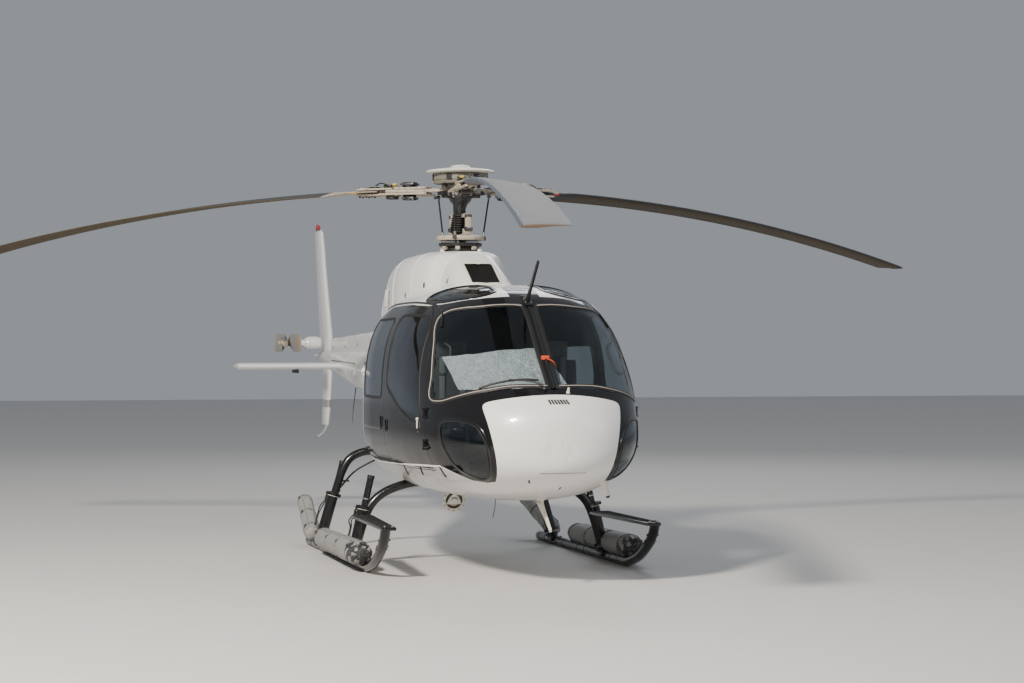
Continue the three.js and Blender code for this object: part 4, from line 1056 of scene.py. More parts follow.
def rim_loops(bm, outer):
    """The closed lines round a skin's outer face, longest first."""
    links = {}
    for e in bm.edges:
        faces = [f.index for f in e.link_faces]
        if len(faces) == 2 and outer[faces[0]] != outer[faces[1]]:
            a, b = e.verts
            links.setdefault(a.index, []).append(b.index)
            links.setdefault(b.index, []).append(a.index)
    bm.verts.ensure_lookup_table()
    seen, loops = set(), []
    for start in links:
        if start in seen or len(links[start]) != 2:
            continue
        loop, here, before = [start], start, None
        seen.add(start)
        while True:
            onward = [n for n in links[here] if n != before and (n not in seen or n == start)]
            if not onward:
                break
            before, here = here, onward[0]
            if here == start:
                break
            seen.add(here)
            loop.append(here)
        if len(loop) > 8:
            loops.append(np.array([bm.verts[i].co for i in loop]))
    loops.sort(key=lambda p: -np.linalg.norm(np.roll(p, -1, 0) - p, axis=1).sum())
    return loops


def rim(node, turns, gap=0.014):
    """An even closed line round a skin."""
    loop = RIMS[node][0]
    length = np.linalg.norm(np.roll(loop, -1, 0) - loop, axis=1).sum()
    return soften(spread(loop, max(24, int(length / gap)), closed=True), turns)


class HELICOPTER_OT_hull(Operator):
    """Fuselage skins: cabin, roof and rear fuselage with the paint scheme"""

    bl_idname = "helicopter.hull"
    bl_label = "Hull skins"

    def execute(self, context):
        for node, slot in (("cabin_shell", "black_paint"), ("cabin_roof", "white_paint"),
                           ("rear_fuselage", "white_paint")):
            smooth_skin(node, node + "_skin", HULL, "airframe", slot, "hull_paint", "lining", "hull_paint")
        return {"FINISHED"}


class HELICOPTER_OT_doors(Operator):
    """Front doors, sliding doors and side hold lids"""

    bl_idname = "helicopter.doors"
    bl_label = "Doors and lids"

    def execute(self, context):
        for side, _ in SIDES:
            smooth_skin("door_front_" + side, "front_door_skin_" + side, HULL, "front_door_" + side, "black_paint",
                        "hull_paint", "lining", "rubber_black")
            smooth_skin("door_sliding_" + side, "sliding_door_skin_" + side, HULL, "airframe", "black_paint",
                        "hull_paint", "lining", "rubber_black")
            smooth_skin("hold_door_" + side, "hold_lid_skin_" + side, HULL, "side_hold_lid_" + side, "white_paint",
                        "hull_paint", "lining", "white_paint")
        return {"FINISHED"}


class HELICOPTER_OT_glass(Operator):
    """Windscreens, chin windows, skylights and door windows"""

    bl_idname = "helicopter.glass"
    bl_label = "Glass"

    def execute(self, context):
        for side, _ in SIDES:
            rows = (("windscreen_" + side, "airframe", "clear_glass", "clear_glass"),
                    ("chin_window_" + side, "airframe", "dark_glass", "tinted_glass"),
                    ("skylight_" + side, "airframe", "dark_glass", "tinted_glass"),
                    ("door_front_window_" + side, "front_door_" + side, "door_glass", "tinted_glass"),
                    ("door_sliding_window_" + side, "airframe", "door_glass", "tinted_glass"))
            for node, body, look, slot in rows:
                smooth_skin(node, node + "_pane", HULL, body, slot, look, look, look, thick=PANE)
        return {"FINISHED"}


class HELICOPTER_OT_cowlings(Operator):
    """Gearbox and engine cowlings"""

    bl_idname = "helicopter.cowlings"
    bl_label = "Cowlings"

    def execute(self, context):
        for node, form, shape in (("gearbox_cowling", COWL_A_PLAIN, COWL_A), ("engine_cowling", COWL_B_PLAIN, COWL_B)):
            smooth_skin(node, node + "_skin", form, "airframe", "white_paint", "white_paint", thick=COWL_WALL,
                        axis_height=2.0, fine=0.05, turn=4.0, shape=shape)
        return {"FINISHED"}


# The tail boom: y, radius, height of its middle
BOOM_ROWS = (
    (2.702, 0.268, 1.440),
    (3.400, 0.240, 1.464),
    (4.600, 0.192, 1.510),
    (5.800, 0.132, 1.572),
    (6.950, 0.068, 1.638),
)
BOOM = Form([(y, r * 0.94, z - r, z, z + r, 2, 2) for y, r, z in BOOM_ROWS])
COVER = Form([(y, w, top - 0.26, top - 0.06, top, 3, 6) for y, w, top in (
    (2.250, 0.082, 1.937), (2.700, 0.080, 1.925), (4.300, 0.074, 1.884), (6.150, 0.066, 1.832))])

# How thick a fin or blade section is along its chord
FOIL = Curve((0, 0.015, 0.05, 0.12, 0.3, 0.65, 1), (0, 0.34, 0.60, 0.80, 1, 0.7, 0.10))


def foil(count=16):
    """Shares of the chord and of the half thickness, round a section."""
    u = (1 - np.cos(np.linspace(0, np.pi, count))) / 2
    t = FOIL(u)[0]
    return list(zip(u, t)) + [(a, -b) for a, b in zip(u[::-1], t[::-1])][:-1]


class HELICOPTER_OT_boom(Operator):
    """Tail boom with its seams, the drive shaft cover and the tail light stub"""

    bl_idname = "helicopter.boom"
    bl_label = "Tail boom"

    def execute(self, context):
        p = Part("boom_skin")
        p.rings(BOOM.rings(np.linspace(2.702, 6.950, 60), 64), "white_paint")
        cone = Curve((0, 0.10, 0.20, 0.30, 0.36, 0.385), (0.067, 0.061, 0.050, 0.037, 0.024, 0.0175))
        run = np.linspace(0, 0.385, 16)
        profile = [(0, 0)] + [(r, t) for r, t in zip(cone(run)[0], run)] + [(0.0175, 0.624), (0.010, 0.634), (0, 0.635)]
        p.turned(profile, at(0, 6.951, 1.638), (0, 1, 0), "white_paint", 40)
        for y in (2.735, 3.42, 4.62, 5.82, 6.90, 6.955):
            p.bead(BOOM.loop(y, 72), BOOM, 0.022, 0.0022, "white_paint")
        p.place(slot="white_paint", replaces=["tail_boom"])
        p = Part("shaft_cover")
        p.rings(COVER.rings(np.linspace(2.251, 6.150, 70), 40), "white_paint")
        end = [(6.150, 0.066, 1.832), (6.185, 0.062, 1.826), (6.215, 0.052, 1.812), (6.235, 0.034, 1.790)]
        tail = Form([(y, w, top - 0.26, top - 0.06, top, 3, 6) for y, w, top in end])
        p.rings(tail.rings(np.linspace(6.150, 6.235, 8), 40), "white_paint")
        for y in (2.98, 3.72, 4.46, 5.20, 5.94):
            p.bead(COVER.arch(y, 20), COVER, 0.016, 0.0022, "white_paint", closed=False)
            for x in (-1, 1):
                side = COVER.onto([(x * 0.07, y + 0.02, 1.80 - (y - 2.98) * 0.024 - PLATE)])[0]
                p.box((-0.014, -0.022, -0.006), (0.014, 0.022, 0.004), "steel", 0.002,
                      matrix=facing(side, COVER.normal([side])[0], (0, 1, 0)))
        place = COVER.onto([(-0.05, 6.02, 1.845 - PLATE)])[0]
        out = COVER.normal([place])[0]
        p.turned([(0, 0), (0.021, 0), (0.021, 0.003), (0.013, 0.0045), (0.013, 0.001), (0, 0.001)], place, out,
                 "white_paint", 24)
        p.disc(0.012, 0.002, place, out, "rubber_black", 20)
        p.place(slot="white_paint", replaces=["drive_shaft_cover"])
        return {"FINISHED"}


class HELICOPTER_OT_fins(Operator):
    """Upper and lower fin, stabilisers, bow and beacon"""

    bl_idname = "helicopter.fins"
    bl_label = "Fins"

    UPPER = ((1.650, 6.390, 7.140, 1.0), (1.870, 6.510, 7.240, 0.95), (2.600, 6.890, 7.470, 0.8),
             (3.040, 7.110, 7.590, 0.7), (3.092, 7.190, 7.594, 0.5))
    LOWER = ((0.850, 6.720, 7.115, 0.6), (1.000, 6.650, 7.100, 0.8), (1.640, 6.450, 7.000, 1.0))

    def fin(self, p, rows, half, band=None):
        line = Curve([row[0] for row in rows], [row[1:] for row in rows])
        heights = np.linspace(rows[0][0], rows[-1][0], 56)
        rings = []
        shape = foil(18)
        for z in heights:
            lead, trail, k = line(z)
            edge = min(1.0, 0.25 + 0.75 * math.sqrt(max(0, (rows[-1][0] - z) / 0.02))) if half > 0.045 else 1.0
            rings.append([at(b * half * k * edge, lead + (trail - lead) * a, z) for a, b in shape])
        names = [("grey_band" if band and band[0] < z < band[1] else "white_paint") for z in heights]
        p.rings(rings, "white_paint", pick=lambda k, i: names[max(0, min(k, len(names) - 1))])
        for share in (0.30, 0.66):
            for sign in (-1, 1):
                for z in np.arange(rows[0][0] + 0.25 * (half > 0.045), rows[-1][0] - 0.05, 0.055):
                    lead, trail, k = line(z)
                    thick = FOIL(np.array(share))[0]
                    p.rivet(at(sign * half * k * thick, lead + (trail - lead) * share, z), (sign, 0, 0), "white_paint")

    def execute(self, context):
        p = Part("upper_fin_skin")
        self.fin(p, self.UPPER, 0.048)
        p.place(slot="white_paint", replaces=["upper_fin"])
        p = Part("lower_fin_skin")
        self.fin(p, self.LOWER, 0.042, (1.046, 1.135))
        p.place(slot="white_paint", replaces=["lower_fin"])
        for side, sign in SIDES:
            p = Part("stabiliser_skin_" + side)
            rings = []
            for x in list(np.linspace(0.10, 1.24, 30)) + [1.250, 1.258, 1.263, 1.265]:
                k = 1 if x <= 1.24 else math.sqrt(max(0.02, 1 - ((x - 1.24) / 0.0255) ** 2))
                lead = 4.950 + 0.012 * (1 - k)
                rings.append([at(sign * x, lead + (5.410 - lead) * a, 1.534 + b * 0.036 * k) for a, b in foil(16)])
            p.rings(rings, "white_paint")
            for share in (0.12, 0.36, 0.70):
                for x in np.arange(0.24, 1.22, 0.05):
                    for up in (-1, 1):
                        thick = FOIL(np.array(share))[0] * 0.036
                        p.rivet(at(sign * x, 4.95 + 0.46 * share, 1.534 + up * thick), (0, 0, up), "white_paint")
            p.box_at((sign * 0.62 - 0.004, 4.97, 1.46), (sign * 0.62 + 0.004, 5.40, 1.50), "rubber_black")
            p.place(slot="white_paint", replaces=["stabiliser_" + side])
        p = Part("bow_tube")
        p.tube([at(0, 6.78, 0.872), at(0, 6.85, 0.815), at(0, 7.08, 0.745), at(0, 7.44, 0.690)], 0.011, "white_paint",
               16)
        p.turned([(0, 0), (0.013, 0), (0.013, 0.018), (0, 0.024)], at(0, 7.437, 0.690), (0, 1, -0.15), "rubber_black",
                 16)
        p.place(slot="white_paint", replaces=["tail_bow"])
        p = Part("beacon_lamp")
        p.disc(0.030, 0.012, at(0, 7.40, 3.093), (0, 0, 1), "dark_steel", 28)
        p.turned([(0, 0), (0.026, 0), (0.026, 0.030), (0.024, 0.045), (0.018, 0.056), (0.008, 0.061), (0, 0.062)],
                 at(0, 7.40, 3.105), (0, 0, 1), "beacon_red", 28)
        p.place(slot="red_lamp", replaces=["beacon"])
        return {"FINISHED"}


class HELICOPTER_OT_tail_rotor(Operator):
    """Tail rotor with its gearbox, hub, pitch plate and blades"""

    bl_idname = "helicopter.tail_rotor"
    bl_label = "Tail rotor"

    X, Y, Z = -0.454, 6.665, 1.785

    def execute(self, context):
        x0 = self.X
        reach = sizes().tail_rotor_radius
        p = Part("tail_gearbox_case")
        case = [(0, 0), (0.050, 0), (0.060, 0.006), (0.064, 0.03), (0.069, 0.05), (0.070, 0.075), (0.070, 0.11),
                (0.066, 0.14), (0.056, 0.17), (0.050, 0.186), (0.036, 0.192), (0.034, 0.20), (0.033, 0.215),
                (0.029, 0.245), (0, 0.247)]
        p.turned(case, at(-0.095, self.Y, self.Z), (-1, 0, 0), "white_paint", 40)
        for k in range(8):
            a = math.pi * k / 4 + 0.2
            p.bolt(at(-0.270, self.Y + 0.056 * math.cos(a), self.Z + 0.056 * math.sin(a)), (-1, 0, 0), 0.0055, 0.010,
                   "steel")
        for k in range(7):
            p.turned([(0.06, 0), (0.0745, 0), (0.0745, 0.004), (0.06, 0.004)], at(-0.140 - 0.016 * k, self.Y, self.Z),
                     (-1, 0, 0), "white_paint", 36)
        p.place(slot="dark_metal", replaces=["tail_gearbox"])
        p = Part("tail_rotor_set")
        p.turned([(0, 0), (0.022, 0), (0.022, 0.05), (0.030, 0.055), (0.030, 0.075), (0.022, 0.08), (0.022, 0.21),
                  (0, 0.21)], at(x0 + 0.165, self.Y, self.Z), (-1, 0, 0), "dark_steel", 32)
        hub = [(0, 0), (0.060, 0), (0.060, 0.006), (0.050, 0.012), (0.048, 0.022), (0.030, 0.03), (0.020, 0.058),
               (0.026, 0.064), (0.026, 0.074), (0.018, 0.08), (0.018, 0.092), (0, 0.098)]
        p.turned(hub, at(x0 - 0.040, self.Y, self.Z), (-1, 0, 0), "head_beige", 36)
        for k in range(6):
            a = math.pi * k / 3
            p.bolt(at(x0 - 0.047, self.Y + 0.045 * math.cos(a), self.Z + 0.045 * math.sin(a)), (-1, 0, 0), 0.006,
                   0.010, "steel")
        p.box_at((x0 - 0.040, self.Y - 0.150, self.Z - 0.036), (x0 + 0.006, self.Y + 0.150, self.Z + 0.036),
                 "oily_metal", 0.008)
        for y in (self.Y - 0.135, self.Y + 0.06):
            p.box_at((x0 - 0.046, y, self.Z - 0.030), (x0 - 0.036, y + 0.075, self.Z + 0.030), "head_beige", 0.004)
        rows = Curve((0.110, 0.240, 0.320, 0.905, reach),
                     ((0.072, 0.012, 12), (0.150, 0.013, 11), (0.205, 0.012, 10), (0.205, 0.008, 2), (0.176, 0.003, 2)))
        for way in (-1, 1):
            rings, names = [], []
            places = list(np.linspace(0.110, 0.905, 34)) + [0.915, 0.923, reach - 0.001]
            for r in places:
                chord, thick, pitch = rows(r)
                a = math.radians(pitch)
                ring = []
                for u, v in foil(14):
                    along, out = (u - 0.5) * chord, v * thick
                    dx = out * math.cos(a) + along * math.sin(a)
                    dz = along * math.cos(a) - out * math.sin(a)
                    ring.append(at(x0 - 0.017 + dx, self.Y + way * r, self.Z + way * dz))
                rings.append(ring)
                names.append("tip_orange" if 0.80 < r < 0.88 else "blade_tan" if r < 0.26 else "tail_blade")
            p.rings(rings, "tail_blade", pick=lambda k, i: names[max(0, min(k, len(names) - 1))])
            p.tube([at(x0 - 0.075, self.Y + way * 0.03, self.Z + 0.030),
                    at(x0 - 0.052, self.Y + way * 0.12, self.Z + 0.058)],
                   0.006, "steel", 12)
            p.bolt(at(x0 - 0.052, self.Y + way * 0.13, self.Z + 0.050), (-1, 0, 0), 0.009, 0.02, "dark_steel")
        p.place("tail_rotor_body", slot="tail_blade", replaces=["tail_rotor"])
        return {"FINISHED"}


# Degrees round the mast of the three blades, the near one first, and the star's height in the frame
BLADE_ANGLES = (262.1, 142.1, 22.1)
STAR_Z = 3.110 - PLATE


def arm_frame(degrees):
    """Along a rotor arm: x out from the mast, z up from the star."""
    return Matrix.Translation((0, 0, STAR_Z)) @ Matrix.Rotation(math.radians(degrees), 4, "Z")


class HELICOPTER_OT_rotor_head(Operator):
    """Star, sleeves, dampers, mast, cap and drum of the main rotor"""

    bl_idname = "helicopter.rotor_head"
    bl_label = "Rotor head"

    def arm(self, p):
        flex = [(0.060, -0.075), (0.20, -0.066), (0.33, -0.062), (0.43, -0.072), (0.52, -0.085), (0.66, -0.086),
                (0.69, -0.080)]
        p.plate(flex + [(x, -y) for x, y in flex[::-1]], -0.013, 0.014, "head_beige", ease=0.006)
        sleeve = [(0.300, -0.060), (0.315, -0.077), (0.40, -0.083), (0.56, -0.092), (0.70, -0.078), (0.80, -0.062),
                  (0.99, -0.050), (1.00, -0.040)]
        line = sleeve + [(x, -y) for x, y in sleeve[::-1]]
        p.plate(line, 0.0156, 0.0322, "head_beige", ease=0.005)
        p.plate(line, -0.0322, -0.0156, "head_beige", ease=0.005)
        # Ribs on the sleeve plates
        for y in (-0.030, 0.030):
            for z in (0.032, -0.040):
                p.box((0.58, y - 0.006, z), (0.96, y + 0.006, z + 0.008), "head_beige", 0.003)
        # Stacked rubber of the spherical bearing, and the damper that leans on it
        layers = [(0, 0)]
        for k in range(9):
            r = 0.066 - 0.004 * (k % 2)
            layers += [(r, 0.0075 * k), (r, 0.0075 * k + 0.0074)]
        layers.append((0, 0.068))
        p.turned(layers, (0.49, 0, 0.010), (0, 0, 1), "rubber_black", 32)
        p.turned([(r * 0.92, -h) for r, h in layers], (0.49, 0, -0.010), (0, 0, 1), "rubber_black", 32)
        p.box((0.425, -0.067, 0.052), (0.555, 0.067, 0.069), "dark_steel", 0.006)
        p.box((0.430, -0.056, -0.069), (0.550, 0.056, -0.052), "dark_steel", 0.006)
        for x, y in ((0.44, -0.052), (0.44, 0.052), (0.54, -0.052), (0.54, 0.052)):
            p.bolt((x, y, 0.0685), (0, 0, 1), 0.0075, 0.010, "steel")
            p.bolt((x, y * 0.85, -0.0685), (0, 0, -1), 0.0075, 0.010, "steel")
        # Clamped block, pitch horn and the oily cluster at the blade root
        p.box((0.700, -0.060, -0.030), (0.760, 0.060, 0.030), "oily_metal", 0.006)
        p.box((0.665, -0.074, 0.031), (0.735, -0.040, 0.060), "oily_metal", 0.008)
        p.box((0.645, 0.020, 0.031), (0.715, 0.070, 0.062), "oily_metal", 0.010)
        p.box((0.620, -0.050, -0.068), (0.700, 0.050, -0.033), "oily_metal", 0.008)
        p.tube([(0.60, 0.085, 0.02), (0.66, 0.098, 0.055), (0.73, 0.090, 0.072), (0.79, 0.070, 0.052)], 0.0055,
               "rubber_black", 12)
        p.tube([(0.62, -0.07, 0.045), (0.70, -0.085, 0.066), (0.78, -0.06, 0.045)], 0.004, "rubber_black", 12)
        p.turned([(0, 0), (0.020, 0), (0.020, 0.015), (0.014, 0.020), (0, 0.022)], (0.660, -0.045, 0.058), (0, 0, 1),
                 "band_yellow", 24)
        for x in (0.615, 0.655, 0.845, 0.905, 0.965):
            for y in (-0.028, 0.028):
                if x < 0.8 and y > 0:
                    continue
                p.bolt((x, y, 0.032), (0, 0, 1), 0.011, 0.017, "steel")
                p.bolt((x, y, -0.032), (0, 0, -1), 0.011, 0.017, "dark_steel")
        p.tube([(0.575, -0.088, -0.012), (0.43, -0.115, -0.03), (0.300, -0.125, -0.035)], 0.011, "head_beige", 16)
        p.bolt((0.30, -0.125, -0.048), (0, 0, -1), 0.012, 0.02, "dark_steel")

    def execute(self, context):
        p = Part("rotor_head_set")
        mast = [(0, 2.44), (0.048, 2.44), (0.048, 2.722), (0.056, 2.730), (0.056, 2.752), (0.048, 2.760), (0.047, 2.94),
                (0.052, 2.955), (0.066, 2.985), (0.090, 3.010), (0.104, 3.040), (0.110, 3.055), (0.110, 3.075),
                (0, 3.075)]
        p.turned_at(mast, "tube_black", 48)
        drum = [(0, 3.062), (0.112, 3.062), (0.118, 3.070), (0.118, 3.088), (0.104, 3.092), (0.104, 3.128),
                (0.112, 3.132), (0.112, 3.150), (0.100, 3.159), (0, 3.159)]
        p.turned_at(drum, "head_beige", 48)
        p.bolts(0.100, 3.062, -1, 12, 7, 0.010, 0.018, "dark_steel")
        for degrees in BLADE_ANGLES:
            p.frame = arm_frame(degrees)
            self.arm(p)
            p.frame = arm_frame(degrees + 60)
            p.box((0.075, -0.034, -0.075), (0.180, 0.034, -0.020), "oily_metal", 0.010)
            p.box((0.130, -0.046, -0.052), (0.215, 0.046, -0.016), "rubber_black", 0.012)
            p.turned([(0, 0), (0.026, 0), (0.026, 0.03), (0.020, 0.036), (0, 0.036)], (0.165, 0, 0.012), (0, 0, 1),
                     "oily_metal", 24)
        p.frame = Matrix()
        p.place("main_rotor", slot="head_beige", replaces=["rotor_head"])
        p = Part("rotor_cap_set")
        drum = [(0, 3.1605), (0.228, 3.1605), (0.233, 3.166), (0.235, 3.180), (0.228, 3.184), (0.228, 3.190),
                (0.236, 3.194), (0.236, 3.246), (0.215, 3.252), (0, 3.252)]
        p.turned_at(drum, "drum_olive", 72)
        for k in range(12):
            a = 30 * k + 12
            p.frame = Matrix.Translation((0, 0, 3.220 - PLATE)) @ Matrix.Rotation(math.radians(a), 4, "Z")
            p.box((0.226, -0.006, -0.052), (0.2405, 0.006, 0.030), "drum_olive", 0.002)
            if k % 2:
                p.box((0.230, 0.020, -0.030), (0.2385, 0.070, 0.020), "panel_black", 0.003)
            p.bolt((0.236, -0.02, 0.015), (1, 0, 0), 0.006, 0.008, "steel")
        p.frame = Matrix()
        dish = [(0, 3.250), (0.232, 3.250), (0.262, 3.2515), (0.292, 3.257), (0.300, 3.262), (0.3015, 3.266),
                (0.298, 3.2705), (0.280, 3.279), (0.240, 3.285), (0.180, 3.292), (0.120, 3.299), (0.096, 3.303),
                (0.086, 3.308), (0.080, 3.316), (0.068, 3.322), (0.040, 3.326), (0, 3.3265)]
        p.turned_at(dish, "cap_white", 96)
        p.bolts(0.105, 3.300, 1, 10, 0, 0.005, 0.006)
        p.place("main_rotor", slot="cap_white", replaces=["rotor_cap"])
        return {"FINISHED"}


class HELICOPTER_OT_blades(Operator):
    """Main rotor blades with edge strips, bands and tips"""

    bl_idname = "helicopter.blades"
    bl_label = "Main blades"

    PLACES = (-0.25, -0.235, -0.20, -0.10, 0.05, 0.35, 0.75)
    UPPER = Curve(PLACES, (0, 0.36, 0.64, 0.94, 1, 0.68, 0.12))
    LOWER = Curve(PLACES, (0, -0.30, -0.5, -0.70, -0.76, -0.35, -0.08))

    def execute(self, context):
        tip, root = sizes().rotor_radius, 0.640
        u = -0.25 + (1 - np.cos(np.linspace(0, np.pi, 18))) / 2
        top, under = self.UPPER(u)[0], self.LOWER(u)[0]
        shape = list(zip(u, top)) + list(zip(u[::-1], under[::-1]))[:-1]
        count = len(shape)
        # The far blades' brown undersides are painted warm ground reflection
        looks = (("blade_near", "blade_near", None), ("blade_tan", "blade_top", (0.965, 1.010, "band_yellow")),
                 ("blade_tan", "blade_top", (0.985, 1.025, "band_red")))
        for index, degrees in enumerate(BLADE_ANGLES):
            below, above, band = looks[index]
            p = Part("blade_%d" % (index + 1))
            p.frame = arm_frame(degrees)
            places = list(np.linspace(0.765, 1.30, 26)) + list(np.linspace(1.34, tip - 0.04, 60))
            places += [tip - 0.02, tip - 0.008, tip - 0.001]
            rings = []
            for r in places:
                grow = min(1.0, max(0.0, (r - 0.900) / 0.350))
                grow = grow * grow * (3 - 2 * grow)
                chord = 0.140 + (sizes().rotor_chord - 0.140) * grow
                thick = 0.014 + 0.007 * grow
                far = (r - root) / (tip - root)
                twist = math.radians(9 - 11 * far) * min(1.0, max(0.0, (r - 1.0) / 0.2))
                end = 1.0 if r < tip - 0.04 else max(0.3, math.sqrt(max(0, 1 - ((r - tip + 0.04) / 0.0405) ** 2)))
                drop = -sizes().blade_droop * far * far - 0.010 * far
                ring = []
                for a, b in shape:
                    along, up = a * chord, b * thick * end
                    ring.append((r, along * math.cos(twist) + up * math.sin(twist),
                                 -along * math.sin(twist) + up * math.cos(twist) + drop))
                rings.append(ring)

            def pick(k, i):
                r = places[max(0, min(k, len(places) - 1))]
                if k < 0 or k >= len(places) - 1 or r > tip - 0.012:
                    return "blade_tip"
                if band and band[0] < r < band[1]:
                    return band[2]
                if r < 1.22:
                    return ("blade_near", "blade_root", "blade_top")[index]
                share = shape[i][0] if i < count else 0
                if share < -0.205:
                    return "blade_top" if index else "blade_edge"
                return above if i < 17 else below

            p.rings(rings, below, pick=pick)
            for r in (0.79, 0.84):
                for y in (-0.022, 0.03):
                    p.bolt((r, y, 0.030), (0, 0, 1), 0.010, 0.016, "dark_steel")
            p.box((0.775, -0.040, 0.0345), (0.87, 0.050, 0.044), "oily_metal", 0.004)
            p.place("main_rotor", slot="blade_grey", replaces=["rotor_blade_%d" % (index + 1)])
        return {"FINISHED"}


class HELICOPTER_OT_controls(Operator):
    """Rotating and fixed swashplate, pitch links, scissors and boot on the mast"""

    bl_idname = "helicopter.controls"
    bl_label = "Mast controls"

    def execute(self, context):
        p = Part("swashplate_turning")
        ring = [(0.0485, 2.668), (0.19, 2.666), (0.204, 2.670), (0.211, 2.680), (0.2115, 2.690), (0.205, 2.706),
                (0.19, 2.7115), (0.12, 2.712), (0.112, 2.704), (0.0485, 2.704)]
        p.turned_at(ring, "head_beige", 64)
        p.bolts(0.165, 2.711, 1, 18, 0, 0.007, 0.010)
        for degrees in BLADE_ANGLES:
            a = math.radians(degrees - 18)
            c, s = math.cos(a), math.sin(a)
            low, high = at(c * 0.205, s * 0.205, 2.690), at(c * 0.262, s * 0.262, 3.058)
            p.tube([low, high], 0.0075, "tube_black", 16)
            for share in (0.05, 0.93):
                p.disc(0.011, 0.035, low.lerp(high, share), high - low, "steel", 16)
            for end in (low, high):
                p.turned([(0, -0.014), (0.014, -0.014), (0.017, -0.006), (0.017, 0.006), (0.014, 0.014), (0, 0.014)],
                         end,
                         (-s, c, 0), "dark_steel", 20)
            p.tube([at(c * 0.15, s * 0.15, 2.690), at(c * 0.228, s * 0.228, 2.690)], 0.019, "worn_black", 20)
        p.place("main_rotor", slot="head_beige", replaces=["swashplate_rotating"])
        p = Part("mast_boot")
        boot = [(0.052, 2.726)]
        for k in range(8):
            z = 2.735 + 0.020 * k
            r = 0.098 - 0.0035 * k
            boot += [(r - 0.014, z), (r, z + 0.007), (r, z + 0.013), (r - 0.014, z + 0.0195)]
        boot.append((0.050, 2.905))
        p.turned_at(boot, "rubber_black", 48)
        # Scissor links beside the boot
        for turn in (285, 105):
            p.frame = Matrix.Translation((0, 0, -PLATE)) @ Matrix.Rotation(math.radians(turn), 4, "Z")
            p.box((0.085, -0.030, 2.712), (0.150, 0.030, 2.770), "head_beige", 0.010)
            p.box((0.120, -0.022, 2.750), (0.165, 0.022, 2.870), "head_beige", 0.010)
            p.box((0.060, -0.026, 2.865), (0.155, 0.026, 2.900), "head_beige", 0.008)
            p.disc(0.018, 0.068, (0.150, -0.034, 2.765), (0, 1, 0), "dark_steel", 20)
            p.disc(0.015, 0.060, (0.145, -0.030, 2.878), (0, 1, 0), "dark_steel", 20)
        p.frame = Matrix()
        p.place("main_rotor", slot="dark_metal")
        p = Part("swashplate_still")
        ring = [(0.056, 2.542), (0.128, 2.520), (0.150, 2.522), (0.150, 2.600), (0.158, 2.608), (0.182, 2.617),
                (0.189, 2.630), (0.189, 2.644), (0.170, 2.6475), (0.056, 2.6475)]
        p.turned_at(ring, "worn_black", 64)
        p.turned_at([(0.054, 2.482), (0.156, 2.482), (0.160, 2.52), (0.155, 2.538), (0.054, 2.538)], "worn_black")
        for turn in (250, 205, 300, 20, 140):
            a = math.radians(turn)
            c, s = math.cos(a), math.sin(a)
            p.tube([at(c * 0.150, s * 0.150, 2.630), at(c * 0.150, s * 0.150, 2.555)], 0.012, "tube_black", 14)
            p.turned([(0, -0.02), (0.016, -0.02), (0.019, 0), (0.016, 0.02), (0, 0.02)],
                     at(c * 0.172, s * 0.172, 2.600),
                     (-s, c, 0), "head_beige", 20)
            p.bolt(at(c * 0.178, s * 0.178, 2.646), (0, 0, 1), 0.010, 0.014, "steel")
        p.bolts(0.150, 2.523, -1, 14, 5, 0.006, 0.010)
        p.place(slot="dark_metal", replaces=["swashplate_fixed"])
        return {"FINISHED"}


def line_on(form, points, gap):
    """A line through points, laid on the form and evenly spread."""
    rough = round_path(points, 60)
    run = np.linalg.norm(np.diff(rough, axis=0), axis=1).sum()
    return form.onto(spread(rough, max(4, int(run / gap))))


def offset_loop(loop, form, away):
    """A closed line moved sideways on the form, outwards where away is over 0."""
    p = np.array(loop, float)
    n = form.normal(p)
    way = np.roll(p, -1, 0) - np.roll(p, 1, 0)
    way /= np.linalg.norm(way, axis=1, keepdims=True)
    side = np.cross(way, n)
    middle = p.mean(0)
    if ((p - middle) * side).sum() < 0:
        side = -side
    return form.onto(p + side * away)


# The windscreen's seal on the starboard side
SCREEN_SEAL = (
    (-0.804, -2.490, 1.360), (-0.785, -2.442, 1.531), (-0.740, -2.308, 1.760), (-0.700, -2.190, 1.890),
    (-0.655, -2.140, 1.975), (-0.589, -2.168, 2.017), (-0.495, -2.244, 2.039), (-0.384, -2.313, 2.054),
    (-0.264, -2.343, 2.063), (-0.150, -2.360, 2.062), (-0.060, -2.374, 2.050), (-0.041, -2.480, 1.980),
    (-0.041, -2.800, 1.700), (-0.036, -3.000, 1.530), (-0.046, -3.085, 1.455), (-0.120, -3.080, 1.450),
    (-0.282, -3.042, 1.446), (-0.506, -2.953, 1.416), (-0.684, -2.794, 1.366), (-0.770, -2.640, 1.335),
)


